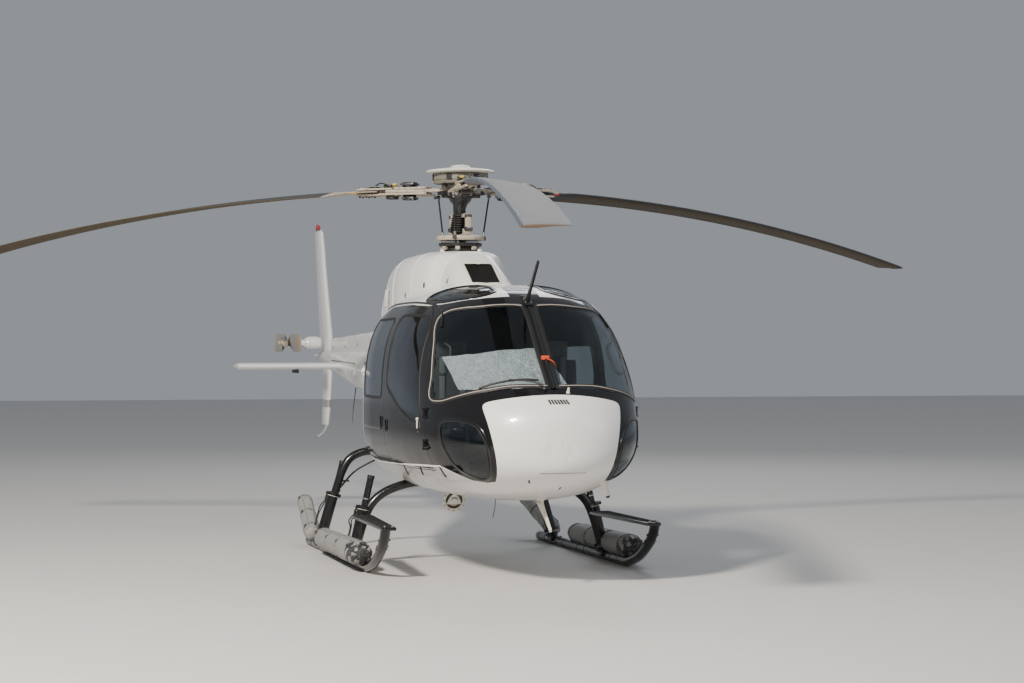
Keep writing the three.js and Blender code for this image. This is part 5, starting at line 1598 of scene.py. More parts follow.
class HELICOPTER_OT_seals(Operator):
    """Beads and rims round the panes"""

    bl_idname = "helicopter.seals"
    bl_label = "Window seals"

    def rim(self, p, loop, width, height, material, away=0.0):
        line = offset_loop(loop, HULL, away) if away else loop
        p.bead(line, HULL, width, height, material)

    def execute(self, context):
        bead = sizes().seal_width
        p = Part("window_rims")
        for side, sign in SIDES:
            screen = round_path([(-sign * x, y, z - PLATE) for x, y, z in SCREEN_SEAL], 300, closed=True)
            self.rim(p, screen, 0.040, 0.0040, "rubber_black")
            edge = [(-sign * x, y, z - PLATE) for x, y, z in SCREEN_SEAL[14:] + SCREEN_SEAL[:11]]
            p.bead(round_path(edge, 220), HULL, bead * 0.70, 0.0070, "seal_beige", closed=False)
            for node, wide in (("chin_window_" + side, 0.034), ("skylight_" + side, 0.046)):
                loop = rim(node, turns=10)
                self.rim(p, loop, wide, 0.007, "gloss_black", 0.010)
                self.rim(p, loop, 0.008, 0.0088, "rubber_black", -0.004)
            loop = rim("door_sliding_window_" + side, turns=8)
            self.rim(p, loop, 0.026, 0.005, "rubber_black", 0.004)
        p.place(slot="black_paint")
        for side, sign in SIDES:
            p = Part("front_door_rim_" + side)
            loop = rim("door_front_window_" + side, turns=8)
            self.rim(p, loop, 0.026, 0.005, "rubber_black", 0.004)
            p.place("front_door_" + side, slot="black_paint")
        return {"FINISHED"}


class HELICOPTER_OT_fittings(Operator):
    """Door handles, latches, slide rails, gutters and sill strips"""

    bl_idname = "helicopter.fittings"
    bl_label = "Door fittings"

    def handle(self, p, sign, y, z, material="cream_paint"):
        """A lever handle in a shallow cup, upright on a door."""
        place = np.array(flank(sign, y, z))
        p.frame = facing(place, HULL.normal([place])[0])
        p.box((-0.020, -0.052, -0.002), (0.020, 0.052, 0.003), "rubber_black", 0.002)
        p.box((-0.009, -0.042, 0.004), (0.009, 0.040, 0.013), material, 0.005)
        p.turned([(0, 0), (0.013, 0), (0.013, 0.010), (0.009, 0.014), (0, 0.014)], (0, 0.030, 0.002), (0, 0, 1),
                 material, 20)
        p.disc(0.008, 0.003, (0, -0.068, 0), (0, 0, 1), "steel", 16)
        p.frame = Matrix()

    def latch(self, p, sign, y, z):
        place = np.array(flank(sign, y, z))
        p.frame = facing(place, HULL.normal([place])[0], (0, 1, 0))
        p.box((-0.013, -0.024, -0.002), (0.013, 0.024, 0.0035), "steel", 0.002)
        p.box((-0.009, -0.018, 0.003), (0.009, 0.010, 0.006), "dark_steel", 0.002)
        p.frame = Matrix()

    def execute(self, context):
        for side, sign in SIDES:
            p = Part("front_door_fittings_" + side)
            self.handle(p, sign, -1.335, 1.115, "gloss_black")
            self.handle(p, sign, -2.292, 1.160)
            line = [flank(sign, y, 0.815) for y in np.linspace(-2.38, -1.30, 12)]
            p.strip(line, 0.012, 0.004, "rubber_black")
            p.place("front_door_" + side, slot="black_paint")
            p = Part("sliding_door_fittings_" + side)
            self.handle(p, sign, -1.125, 1.135, "gloss_black")
            line = [flank(sign, y, 1.080) for y in np.linspace(-1.10, -0.15, 14)]
            p.strip(line, 0.020, 0.006, "gloss_black")
            line = [flank(sign, y, 0.815) for y in np.linspace(-1.15, -0.11, 12)]
            p.strip(line, 0.012, 0.004, "rubber_black")
            p.place(slot="black_paint")
            p = Part("side_rails_" + side)
            rail = [flank(sign, y, 1.600) for y in np.linspace(0.02, 1.95, 24)]
            p.strip(rail, 0.034, 0.010, "rubber_black")
            p.strip(rail, 0.014, 0.0145, "steel")
            low = [flank(sign, y, 0.880) for y in np.linspace(0.02, 0.95, 18)]
            p.strip(low, 0.022, 0.008, "rubber_black")
            gutter = [flank(sign, y, z) for y, z in
                      ((-2.26, 1.900), (-2.14, 2.000), (-1.98, 2.058), (-1.80, 2.082), (-1.40, 2.100), (-0.90, 2.100),
                       (-0.40, 2.080), (-0.02, 2.058))]
            p.strip(gutter, 0.020, 0.012, "gloss_black")
            sill = [flank(sign, y, z) for y, z in
                    ((-2.56, 0.838), (-2.40, 0.832), (-2.00, 0.822), (-1.50, 0.808), (-1.00, 0.794), (-0.40, 0.786),
                     (-0.02, 0.786))]
            p.strip(sill, 0.018, 0.0065, "white_paint")
            for k in range(46):
                y = -2.52 + 0.054 * k
                z = float(np.interp(y, [-2.56, -1.5, -0.02], [0.822, 0.790, 0.768]))
                place = np.array(flank(sign, y, z))
                p.rivet(place, HULL.normal([place])[0], "white_paint", 0.005, 0.002)
            p.place(slot="black_paint")
            p = Part("hold_lid_fittings_" + side)
            for y in (0.66, 1.16):
                self.latch(p, sign, y, 1.035 + 0.05 * (y > 1))
            p.place("side_hold_lid_" + side, slot="white_paint")
        return {"FINISHED"}


class HELICOPTER_OT_nose(Operator):
    """Nose fittings: wire cutters, centre strip, wipers, vent, slots, pitot tube and lamp"""

    bl_idname = "helicopter.nose"
    bl_label = "Nose fittings"

    def execute(self, context):
        p = Part("cutter_upper_blade")
        blade = [(-2.27, 2.105), (-2.345, 2.088), (-2.45, 2.190), (-2.671, 2.394), (-2.660, 2.405), (-2.640, 2.409),
                 (-2.560, 2.350), (-2.400, 2.205), (-2.330, 2.150)]
        p.plate_at(blade, 0.0065, "worn_black")
        teeth = []
        for k in range(9):
            t = k / 8
            y, z = -2.352 - 0.09 * t, 2.098 + 0.09 * t
            teeth += [(y - 0.010, z + 0.004), (y, z + 0.010)]
        p.plate_at([(-2.33, 2.11)] + teeth + [(-2.40, 2.20)], 0.003, "steel", 0.0)
        foot = on_hull(0, -2.30, 2.12)
        p.frame = facing(foot, HULL.normal([foot])[0], (0, 1, 0))
        p.box((-0.034, -0.085, -0.004), (0.034, 0.075, 0.008), "worn_black", 0.003)
        for dx in (-0.024, 0.024):
            for dy in (-0.06, 0.0, 0.055):
                p.bolt((dx, dy, 0.008), (0, 0, 1), 0.006, 0.008, "dark_steel")
        p.frame = Matrix()
        p.place(slot="black_paint", replaces=["wire_cutter_upper"])
        p = Part("cutter_lower_blade")
        blade = [(-2.585, 0.610), (-2.790, 0.618), (-2.790, 0.560), (-2.87, 0.495), (-3.026, 0.378), (-3.022, 0.362),
                 (-3.008, 0.355), (-2.86, 0.440), (-2.725, 0.505), (-2.62, 0.555)]
        p.plate_at(blade, 0.007, "cream_paint")
        for k in range(5):
            y = -2.772 + 0.032 * k
            p.plate_at([(y, 0.560), (y + 0.018, 0.575), (y + 0.030, 0.553)], 0.0085, "steel", 0.001)
        p.box_at((-0.020, -2.80, 0.585), (0.020, -2.59, 0.606), "cream_paint", 0.004)
        p.box_at((0.010, -2.76, 0.545), (0.022, -2.69, 0.598), "worn_black", 0.004)
        p.place(slot="white_paint", replaces=["wire_cutter_lower"])

        p = Part("centre_strip")
        post = [(0, HULL.front(0, z), z - PLATE) for z in np.linspace(1.43, 2.03, 24)]
        p.strip(post, 0.066, 0.010, "gloss_black", gap=0.03)
        p.strip(post, 0.014, 0.022, "worn_black", gap=0.03)
        for k in range(30):
            z = 1.46 + 0.018 * k
            y = HULL.front(0, z)
            out = Vector(HULL.normal([(0, y, z - PLATE)])[0])
            tip = Vector((0, y, z - PLATE)) + out * 0.024
            p.turned([(0, 0), (0.006, 0), (0, 0.012)], tip - out * 0.006, out, "worn_black", 8)
        # Red strap tied round the centre strip
        y = HULL.front(0, 1.665)
        p.box_at((-0.030, y - 0.034, 1.648), (0.030, y - 0.006, 1.680), "strap_red", 0.006)
        p.tube([(0.020, y - 0.036, 1.655 - PLATE), (0.060, y - 0.042, 1.630 - PLATE),
                (0.085, y - 0.030, 1.585 - PLATE)],
               lambda t: 0.006 - 0.003 * t, "strap_red", 8)
        p.place(slot="black_paint")

        p = Part("wiper")
        pivot = on_nose(-0.075, 1.425)
        out = Vector(HULL.normal([pivot])[0])
        p.turned([(0, 0), (0.017, 0), (0.017, 0.022), (0.010, 0.028), (0, 0.028)], pivot, out, "worn_black", 24)

        def along(places, away):
            return [HULL.onto([(x, HULL.front(x, z), z - PLATE)], -away)[0] for x, z in places]

        p.tube(along(((-0.075, 1.425), (-0.16, 1.455), (-0.30, 1.470)), 0.024), 0.0065, "worn_black", 12)
        p.tube(along(((-0.10, 1.478), (-0.20, 1.484), (-0.30, 1.477), (-0.42, 1.455), (-0.52, 1.425)), 0.013), 0.0085,
               "rubber_black", 10)
        nozzle = on_nose(0.10, 1.405)
        out = Vector(HULL.normal([nozzle])[0])
        p.turned([(0, -0.002), (0.016, -0.002), (0.014, 0.006), (0.010, 0.012), (0.009, 0.034), (0.005, 0.040),
                  (0, 0.041)], nozzle, out + Vector((0, 0, 0.9)), "cream_paint", 20)
        p.place(slot="black_paint")

        p = Part("nose_details")
        for k in range(7):
            x = -0.064 + 0.0225 * k
            z = 1.337
            place = on_nose(x, z)
            p.frame = facing(place, HULL.normal([place])[0]) @ Matrix.Rotation(math.radians(16), 4, "Z")
            p.box((-0.0070, -0.026, -0.004), (0.0070, 0.026, 0.0040), "rubber_black", 0.002)
        p.frame = Matrix()
        for y0, z0, y1, z1 in ((-1.655, 0.813, -1.530, 0.728), (-2.108, 0.819, -2.020, 0.750),
                               (-2.543, 0.839, -2.475, 0.752)):
            for _, sign in SIDES:
                a = HULL.onto([flank(sign, y0, z0)])[0]
                b = HULL.onto([flank(sign, y1, z1)])[0]
                half = float(np.linalg.norm(a - b)) / 2
                spot = HULL.onto([(a + b) / 2])[0]
                p.frame = facing(spot, HULL.normal([spot])[0], a - b)
                p.box((-0.011, -half, -0.010), (0.011, half, 0.0035), "rubber_black", 0.004)
        p.frame = Matrix()
        for x, z in ((-0.208, 0.746), (0.048, 0.690)):
            place = on_nose(x, z)
            p.frame = facing(place, HULL.normal([place])[0])
            p.box((-0.007, -0.024, -0.003), (0.007, 0.024, 0.0015), "panel_black", 0.002)
        p.frame = Matrix()
        joint = [(x, HULL.front(x, 0.812), 0.812 - PLATE) for x in np.linspace(-0.15, 0.21, 14)]
        p.strip(joint, 0.005, 0.0012, "panel_black")
        # Belly access panels with their fasteners
        for x0, x1, y0, y1 in ((-0.24, 0.24, -2.42, -2.00), (-0.28, 0.28, -0.50, 0.10)):
            corners = [(x0, y0), (x1, y0), (x1, y1), (x0, y1)]
            loop = []
            for k in range(4):
                (xa, ya), (xb, yb) = corners[k], corners[(k + 1) % 4]
                for t in np.linspace(0, 1, 14)[:-1]:
                    x, y = xa + (xb - xa) * t, ya + (yb - ya) * t
                    loop.append((x, y, HULL.belly(x, y) - PLATE))
            loop = soften(np.array(loop), 2)
            p.bead(loop, HULL, 0.004, 0.0012, "panel_black")
            for place in spread(offset_loop(loop, HULL, -0.018), 36, closed=True):
                p.rivet(place, HULL.normal([place])[0], "steel", 0.0045, 0.0016)
        p.place(slot="white_paint")

        p = Part("probes")
        base = on_hull(0.440, -2.74, 0.735)
        p.turned([(0, -0.010), (0.030, -0.010), (0.030, 0.006), (0.023, 0.012), (0.021, 0.070), (0.019, 0.084),
                  (0.012, 0.090), (0, 0.090)], base, (0.34, -0.10, -1), "cream_paint", 32)
        base = on_hull(0.505, -2.64, 0.715)
        p.tube([base, base + np.array([0.010, -0.010, -0.045]), base + np.array([0.014, -0.014, -0.085])], 0.010,
               "worn_black", 16)
        end = base + np.array([0.014, -0.014, -0.090])
        p.turned([(0, -0.020), (0.013, -0.016), (0.019, 0), (0.013, 0.016), (0, 0.020)], end, (0, 0, 1), "worn_black",
                 24)
        base = on_hull(-0.064, -1.55, HULL.belly(-0.064, -1.55))
        p.tube([base, base + np.array([0, 0.03, -0.09]), base + np.array([0, 0.10, -0.17])], 0.003, "worn_black", 8)
        whip = [at(0, 4.95, 1.33), at(0, 5.02, 1.24), at(0, 5.12, 1.08), at(0, 5.20, 0.92)]
        p.tube(whip, lambda t: 0.006 - 0.004 * t, "worn_black", 10)
        p.turned([(0, 0), (0.022, 0), (0.018, 0.02), (0.009, 0.035), (0, 0.035)], at(0, 4.945, 1.345), (0, 0.2, -1),
                 "white_paint", 20)
        p.tube([at(-0.155, 3.98, 1.560), at(-0.30, 4.02, 1.585), at(-0.42, 4.10, 1.600)], 0.006, "dark_steel", 10)
        p.turned([(0, 0), (0.030, 0), (0.028, 0.012), (0.016, 0.022), (0, 0.024)], at(-0.205, 3.95, 1.47), (-1, 0, 0),
                 "white_paint", 24)
        p.place(slot="dark_metal")

        p = Part("landing_light")
        centre = at(-0.33, -1.15, 0.458)
        p.turned([(0, 0.09), (0.075, 0.09), (0.080, 0.03), (0.082, 0.012), (0.082, 0), (0, 0)], centre, (0, 0, 1),
                 "white_paint", 48)
        ring = Vector((0, -0.96, -0.28)).normalized()
        face = centre + Vector((0, -0.050, 0.034))
        p.turned([(0, 0), (0.092, 0), (0.099, 0.004), (0.099, 0.012), (0.074, 0.017), (0.070, 0.012), (0.066, 0),
                  (0, 0)], face, ring, "cream_paint", 64)
        p.turned([(0.052, 0.002), (0.069, 0.002), (0.069, 0.010), (0.060, 0.014), (0.052, 0.010)], face, ring,
                 "worn_black", 48)
        p.turned([(0, 0.004), (0.054, 0.004), (0.050, 0.012), (0.030, 0.018), (0, 0.020)], face, ring, "lamp_glass", 48)
        p.turned([(0.018, 0.016), (0.030, 0.016), (0.030, 0.024), (0.018, 0.024)], face, ring, "dark_steel", 32)
        side, up = basis(ring)
        for k in range(12):
            a = math.pi * k / 6
            p.bolt(face + ring * 0.013 + side * 0.086 * math.cos(a) + up * 0.086 * math.sin(a), ring, 0.0045, 0.006,
                   "dark_steel")
        p.place(slot="lamp_ring", replaces=["landing_lamp"])
        return {"FINISHED"}


class HELICOPTER_OT_top(Operator):
    """Cowling details, intake grille, exhaust pipe and roof fittings"""

    bl_idname = "helicopter.top"
    bl_label = "Cowling details"

    def rivets(self, p, form, line):
        for place in line_on(form, line, sizes().rivet_gap):
            p.rivet(place, form.normal([place])[0], "white_paint", 0.0045)

    def execute(self, context):
        p = Part("grille_bars")
        slope = math.atan2(2.440 - 2.279, 0.957 - 0.652)
        p.frame = Matrix.Translation(at(0, -0.951, 2.277)) @ Matrix.Rotation(slope, 4, "X")
        run = math.hypot(2.438 - 2.277, 0.951 - 0.647)
        p.box((-0.1205, 0, -0.006), (0.1205, 0.010, 0.006), "worn_black", 0.002)
        p.box((-0.1205, run - 0.012, -0.006), (0.1205, run, 0.004), "worn_black", 0.002)
        for x in (-0.1155, 0.1155):
            p.box((x - 0.005, 0, -0.006), (x + 0.005, run, 0.006), "worn_black", 0.002)
        for k in range(17):
            x = -0.104 + 0.013 * k
            p.tube([(x, 0.006, 0.002), (x, run - 0.008, 0.002)], 0.0018, "worn_black", 6)
        for k in range(24):
            y = 0.012 + 0.0138 * k
            p.tube([(-0.113, y, -0.001), (0.113, y, -0.001)], 0.0018, "worn_black", 6)
        p.frame = Matrix()
        p.place(slot="dark_metal", replaces=["intake_grille"])

        p = Part("cowling_trim")
        # Raised lip round the intake mouth
        lip = []
        mouth = ((-0.128, 2.268), (0.128, 2.268), (0.128, 2.450), (-0.128, 2.450))
        for (x0, z0), (x1, z1) in zip(mouth, mouth[1:] + mouth[:1]):
            for t in np.linspace(0, 1, 16)[:-1]:
                x, z = x0 + (x1 - x0) * t, z0 + (z1 - z0) * t
                front = COWL_A.edge(-0.47, -1.008, lambda y: (x, y, z - PLATE))
                lip.append((x, front, z - PLATE))
        lip = soften(np.array(lip), 2)
        p.bead(lip, COWL_A, 0.016, 0.007, "cream_paint")
        for form, places in ((COWL_A, (-0.42, 0.06, 0.725)), (COWL_B, (0.760, 1.28, 1.92))):
            for y in places:
                arch = form.ring(y, np.linspace(0.05, math.pi - 0.05, 60))
                arch = [q for q in arch if q[2] + PLATE > HULL.top(q[0], y) + 0.02]
                p.bead(np.array(arch), form, 0.012, 0.0022, "white_paint", closed=False)
                self.rivets(p, form, [(q[0], q[1] + 0.022, q[2]) for q in arch[::3]])
                if y not in (0.725, -0.42):
                    self.rivets(p, form, [(q[0], q[1] - 0.022, q[2]) for q in arch[::3]])
        for form, y0, y1 in ((COWL_A, -0.93, 0.70), (COWL_B, 0.79, 2.15)):
            for sign in (-1, 1):
                edge = []
                for y in np.linspace(y0, y1, 24):
                    low, high = 1.9, 2.6
                    for _ in range(30):
                        z = (low + high) / 2
                        w = form.side(y, z)
                        low, high = (z, high) if z < HULL.top(w, y) else (low, z)
                    z = high
                    edge.append((sign * form.side(y, z + 0.028), y, z + 0.028 - PLATE))
                p.strip(edge, 0.014, 0.004, "white_paint", form)
                self.rivets(p, form, [(q[0], q[1], q[2] + 0.020) for q in edge])
                # Latches along the foot of the cowling
                for k in (4, 10, 16, 21):
                    q = np.array(edge[k]) + np.array([0, 0, 0.050])
                    q = form.onto([q])[0]
                    p.frame = facing(q, form.normal([q])[0])
                    p.box((-0.014, -0.022, -0.002), (0.014, 0.022, 0.005), "steel", 0.002)
                    p.box((-0.007, -0.020, 0.004), (0.007, 0.006, 0.008), "dark_steel", 0.002)
                p.frame = Matrix()
        # Cooling louvres on the engine cowling's sides
        for sign in (-1, 1):
            for k in range(7):
                y = 1.02 + 0.075 * k
                low = np.array([sign * COWL_B.side(y, 2.19), y, 2.19 - PLATE])
                p.frame = facing(low, COWL_B.normal([low])[0])
                p.box((-0.016, -0.075, -0.004), (0.010, 0.075, 0.009), "white_paint", 0.004)
                p.box((0.009, -0.070, -0.002), (0.014, 0.070, 0.006), "panel_black", 0.001)
            p.frame = Matrix()
        for x, y in ((-0.20, -0.18), (0.10, -0.30)):
            z = COWL_A.top(x, y)
            p.turned([(0, 0), (0.020, 0), (0.018, 0.012), (0.010, 0.020), (0, 0.022)], (x, y, z - PLATE), (0, 0, 1),
                     "white_paint", 24)
        p.place(slot="white_paint")

        p = Part("exhaust_tube")
        axis = (at(0, 2.480, 2.149) - at(0, 1.960, 2.092))
        long = axis.length
        pipe = [(0.150, 0), (0.152, 0.10), (0.1545, 0.30), (0.1572, long - 0.02), (0.1605, long - 0.012),
                (0.1605, long - 0.003), (0.158, long), (0.153, long - 0.003), (0.1505, long - 0.012),
                (0.149, long - 0.10), (0.144, 0.10), (0.135, -0.02), (0.120, -0.12), (0.095, -0.18), (0.060, -0.20),
                (0.0, -0.205)]
        p.turned([(0.100, -0.21)] + pipe, at(0, 1.960, 2.092), axis, "exhaust", 72)
        for h in (0.14, 0.30):
            r = 0.1525 + 0.012 * h
            p.turned([(r - 0.004, h - 0.012), (r + 0.003, h - 0.010), (r + 0.003, h + 0.010), (r - 0.004, h + 0.012)],
                     at(0, 1.960, 2.092), axis, "dark_steel", 64)
        p.turned([(0, -0.16), (0.036, -0.15), (0.052, -0.10), (0.040, -0.02), (0.012, 0.04), (0, 0.045)],
                 at(0, 1.960, 2.092),
                 axis, "dark_steel", 36)
        p.place(slot="steel", replaces=["exhaust_pipe"])

        p = Part("roof_details")
        for _, sign in SIDES:
            # Rivet rows along the white roof's edge and behind the skylights
            line = [(sign * 0.690, y, HULL.top(0.690, y) - PLATE) for y in np.linspace(-1.45, -0.05, 20)]
            self.rivets(p, HULL, line)
            line = [(sign * x, -1.47, HULL.top(x, -1.47) - PLATE) for x in np.linspace(0.16, 0.66, 10)]
            self.rivets(p, HULL, line)
            for y in (0.345, 0.92, 1.45, 2.02, 2.62):
                arch = [q for q in HULL.ring(y, np.linspace(-0.9, 1.25, 60)) if q[2] + PLATE < HULL.top(0, y) - 0.01]
                arch = [(sign * q[0], q[1], q[2]) for q in arch]
                p.strip(arch, 0.006, 0.0012, "panel_black")
                self.rivets(p, HULL, [(q[0], q[1] + 0.022, q[2]) for q in arch[::3]])
                self.rivets(p, HULL, [(q[0], q[1] - 0.022, q[2]) for q in arch[::3]])
        # Filler cap with its ring on the rear fuselage
        cap = np.array(flank(-1, 0.62, 1.72))
        out = HULL.normal([cap])[0]
        p.turned([(0, -0.002), (0.055, -0.002), (0.055, 0.004), (0.043, 0.006), (0.041, 0.003), (0, 0.003)], cap, out,
                 "white_paint", 36)
        p.turned([(0, 0.003), (0.036, 0.003), (0.034, 0.008), (0, 0.009)], cap, out, "steel", 32)
        p.box((-0.004, -0.03, 0.008), (0.004, 0.03, 0.014), "steel", 0.002, facing(cap, out))
        p.place(slot="white_paint")
        return {"FINISHED"}


# The skid tubes: |x|, and their line in (y, rise over the straight part)
SKID_X = 1.090
SKID_LINE = ((1.410, 0), (0.400, 0), (-0.700, 0), (-1.330, 0), (-1.480, 0.012), (-1.750, 0.078), (-1.980, 0.185),
             (-2.110, 0.285), (-2.165, 0.372))
# Each leg: its place along Y, the join on the cross tube, the top of its post, and half of the cross tube's line
LEGS = (
    ("front", -0.730, (0.990, 0.425), (0.925, 0.676), ((0, 0.625), (0.35, 0.622), (0.56, 0.612), (0.70, 0.582),
     (0.83, 0.525), (0.925, 0.44), (0.985, 0.32), (1.045, 0.12))),
    ("rear", 0.900, (0.955, 0.440), (0.871, 0.719), ((0, 0.715), (0.26, 0.745), (0.45, 0.785), (0.594, 0.808),
     (0.72, 0.79), (0.819, 0.733), (0.885, 0.62), (0.925, 0.5), (1.045, 0.12))),
)
# Float bags: |x|, y, z and radius at the front and rear ends
BAGS = (
    ("front", (1.146, -1.500, 0.086, 0.106), (1.146, 0.420, 0.078, 0.090)),
    ("rear", (1.128, 1.010, 0.052, 0.078), (1.062, 1.880, 0.318, 0.070)),
)


class HELICOPTER_OT_gear(Operator):
    """Skids with their steps, and the curved cross tubes with their legs"""

    bl_idname = "helicopter.gear"
    bl_label = "Skid gear"

    def execute(self, context):
        base = GROUND + 0.040
        for side, sign in SIDES:
            p = Part("skid_tube_" + side)
            line = round_path([at(sign * SKID_X, y, base + rise) for y, rise in SKID_LINE], 90)
            p.tube(line, 0.0400, "tube_black", 36, straight=True)
            p.turned([(0, -0.006), (0.030, -0.006), (0.036, 0.004), (0.030, 0.012), (0, 0.014)],
                     at(sign * SKID_X, 1.410, base), (0, 1, 0), "skid_metal", 32)
            # Wear plates under the tube, with bands and bolts
            for y in (1.22, 0.60, -0.10, -1.10):
                p.box((sign * SKID_X - 0.026, y - 0.130, GROUND - PLATE + 0.0005), (sign * SKID_X + 0.026, y + 0.130,
                      GROUND - PLATE + 0.008), "skid_metal", 0.003)
                for dy in (-0.105, 0.105):
                    ring = at(sign * SKID_X, y + dy, base)
                    p.turned([(0.0395, -0.012), (0.0425, -0.010), (0.0425, 0.010), (0.0395, 0.012)], ring, (0, 1, 0),
                             "dark_steel", 32)
            # Bolts along the bent toe
            for t in (0.935, 0.955, 0.975):
                k = int(t * 90)
                q = Vector(line[k])
                way = (Vector(line[k]) - Vector(line[k - 1])).normalized()
                out = Vector((-sign, 0, 0))
                p.bolt(q + out * 0.038, out, 0.009, 0.012, "dark_steel")
                p.bolt(q - out * 0.038, -out, 0.009, 0.012, "dark_steel")
            tip = Vector(line[-1])
            p.turned([(0, -0.006), (0.034, -0.006), (0.034, 0.006), (0.022, 0.013), (0, 0.015)], tip,
                     Vector(line[-1]) - Vector(line[-2]), "skid_metal", 32)
            for _, y, *_ in LEGS:
                low, high = (sign * (SKID_X - 0.004) - 0.058, y - 0.108), (sign * (SKID_X - 0.004) + 0.058, y + 0.108)
                p.box_at((low[0], low[1], -0.033), (high[0], high[1], 0.004), "tube_black", 0.014)
                p.box_at((low[0] + 0.012, low[1] + 0.02, 0.002), (high[0] - 0.012, high[1] - 0.02, 0.015),
                         "tube_black", 0.006)
                for dx in (-0.045, 0.045):
                    for dy in (-0.085, 0.085):
                        p.bolt(at(sign * (SKID_X - 0.004) + dx, y + dy, 0.004), (0, 0, 1), 0.0085, 0.012, "dark_steel")
            # The step: a trimmed plate with an anti-slip top, ribs and its bar
            for outline, low, high, look, ease in (
                    ([(0.930, -0.830), (1.105, -0.830), (1.128, -2.205), (1.012, -2.205)], 0.326, 0.352, "tube_black",
                     0.006),
                    ([(0.944, -0.846), (1.094, -0.846), (1.117, -2.190), (1.023, -2.190)], 0.350, 0.3555, "step_plate",
                     0.001)):
                plate = [(sign * x, y) for x, y in outline]
                p.plate(plate[::sign], low - PLATE, high - PLATE, look, ease=ease)
            for k in range(26):
                y = -0.89 - 0.050 * k
                t = (y + 0.846) / (-2.190 + 0.846)
                xa, xb = 0.952 + 0.079 * t, 1.086 + 0.023 * t
                p.box_at((min(sign * xa, sign * xb), y - 0.0035, 0.354),
                         (max(sign * xa, sign * xb), y + 0.0035, 0.3595), "step_plate", 0.001)
            p.box_at((sign * 1.010 - 0.022, -0.842, 0.329), (sign * 1.010 + 0.022, -0.732, 0.356), "tube_black",
                     0.007)
            p.tube([at(sign * 1.078, -2.175, 0.335), at(sign * 1.082, -2.168, 0.320)], 0.022, "tube_black", 20)
            for x in (1.040, 1.100):
                p.bolt(at(sign * x, -2.180, 0.355), (0, 0, 1), 0.008, 0.010, "steel")
            p.place(slot="skid_metal", replaces=["skid_" + side])
        for name, y, join, post, half in LEGS:
            p = Part("gear_tube_" + name)
            line = [at(-x, y, z) for x, z in half[:0:-1]] + [at(x, y, z) for x, z in half]
            p.tube(line, 0.0370, "tube_black", 36, 150)
            for sign in (-1, 1):
                foot = at(sign * 1.078, y, 0.017)
                top = at(sign * join[0], y, join[1])
                way = top - foot
                long = way.length
                p.turned([(0.0495, -0.006), (0.0500, 0.0), (0.0480, long - 0.004), (0.0450, long)], foot, way,
                         "tube_black", 40)
                # Bolted clamps at the sleeve's two ends, with white sealant rings
                for t in (0.10, 0.93):
                    spot = foot + way * t
                    run = 0.05 * long
                    p.turned([(0.049, -0.002), (0.0555, 0.000), (0.0555, run), (0.049, run + 0.002)], spot, way,
                             "tube_black", 40)
                    p.turned([(0.048, -0.007), (0.0525, -0.005), (0.0525, -0.001), (0.048, 0.001)], spot, way,
                             "cream_paint", 40)
                    side, _ = basis(way, (0, 1, 0))
                    for s in (-1, 1):
                        mid = spot + way.normalized() * run / 2 + side * (s * 0.057)
                        p.box((-0.012, -0.016, -0.010), (0.012, 0.016, 0.010), "worn_black", 0.004,
                              facing(mid, side * s, way))
                        p.bolt(mid + side * (s * 0.009), side * s, 0.006, 0.009, "steel")
                # The post that stands on the sleeve, with a flat cap and its bracket
                low = at(sign * (join[0] + 0.006), y + 0.012, join[1] - 0.060)
                cap = at(sign * post[0], y + 0.012, post[1])
                p.tube([low, cap], 0.0285, "tube_black", 28, straight=True)
                axis = cap - low
                p.turned([(0.0265, -0.030), (0.0310, -0.028), (0.0310, -0.004), (0.0280, 0.0), (0, 0.0)], cap, axis,
                         "worn_black", 32)
                p.turned([(0.028, 0.0), (0.0305, 0.002), (0.0305, 0.012), (0.028, 0.014)], low + axis * 0.35, axis,
                         "steel", 32)
                # Horn bracket and its hoses to the float bag
                horn = low + axis * 0.12
                p.tube([horn + Vector((sign * 0.028, 0.02, 0)), horn + Vector((sign * 0.062, 0.045, -0.012)),
                        horn + Vector((sign * 0.070, 0.065, -0.055))], lambda t: 0.010 - 0.003 * t, "worn_black", 14)
                for away in (0.012, 0.030):
                    hose = [horn + Vector((sign * 0.040, 0.03 + away, -0.02)),
                            horn + Vector((sign * (0.078 + away), 0.06 + away, -0.10)),
                            at(sign * (1.075 + 0.3 * away), y + 0.09 + away, 0.24),
                            at(sign * (1.100 + 0.4 * away), y + 0.075 + away, 0.14)]
                    p.tube(hose, 0.0055, "rubber_black", 12)
                if name == "rear":
                    hose = [at(sign * 0.470, y + 0.055, 0.752), at(sign * 0.560, y + 0.060, 0.725),
                            at(sign * 0.748, y + 0.070, 0.624), at(sign * 0.880, y + 0.060, 0.485),
                            at(sign * 0.940, y + 0.045, 0.400)]
                    p.tube(hose, 0.0080, "rubber_black", 14)
                    p.box_at((sign * 0.855 - 0.045, y + 0.020, 0.530), (sign * 0.855 + 0.045, y + 0.078, 0.545),
                             "worn_black", 0.004)
                p.bolt(at(sign * (join[0] - 0.045), y, join[1] + 0.010), (-sign, 0, 0.2), 0.010, 0.014, "dark_steel")
            p.place(slot="black_tube", replaces=["cross_tube_" + name])
        return {"FINISHED"}


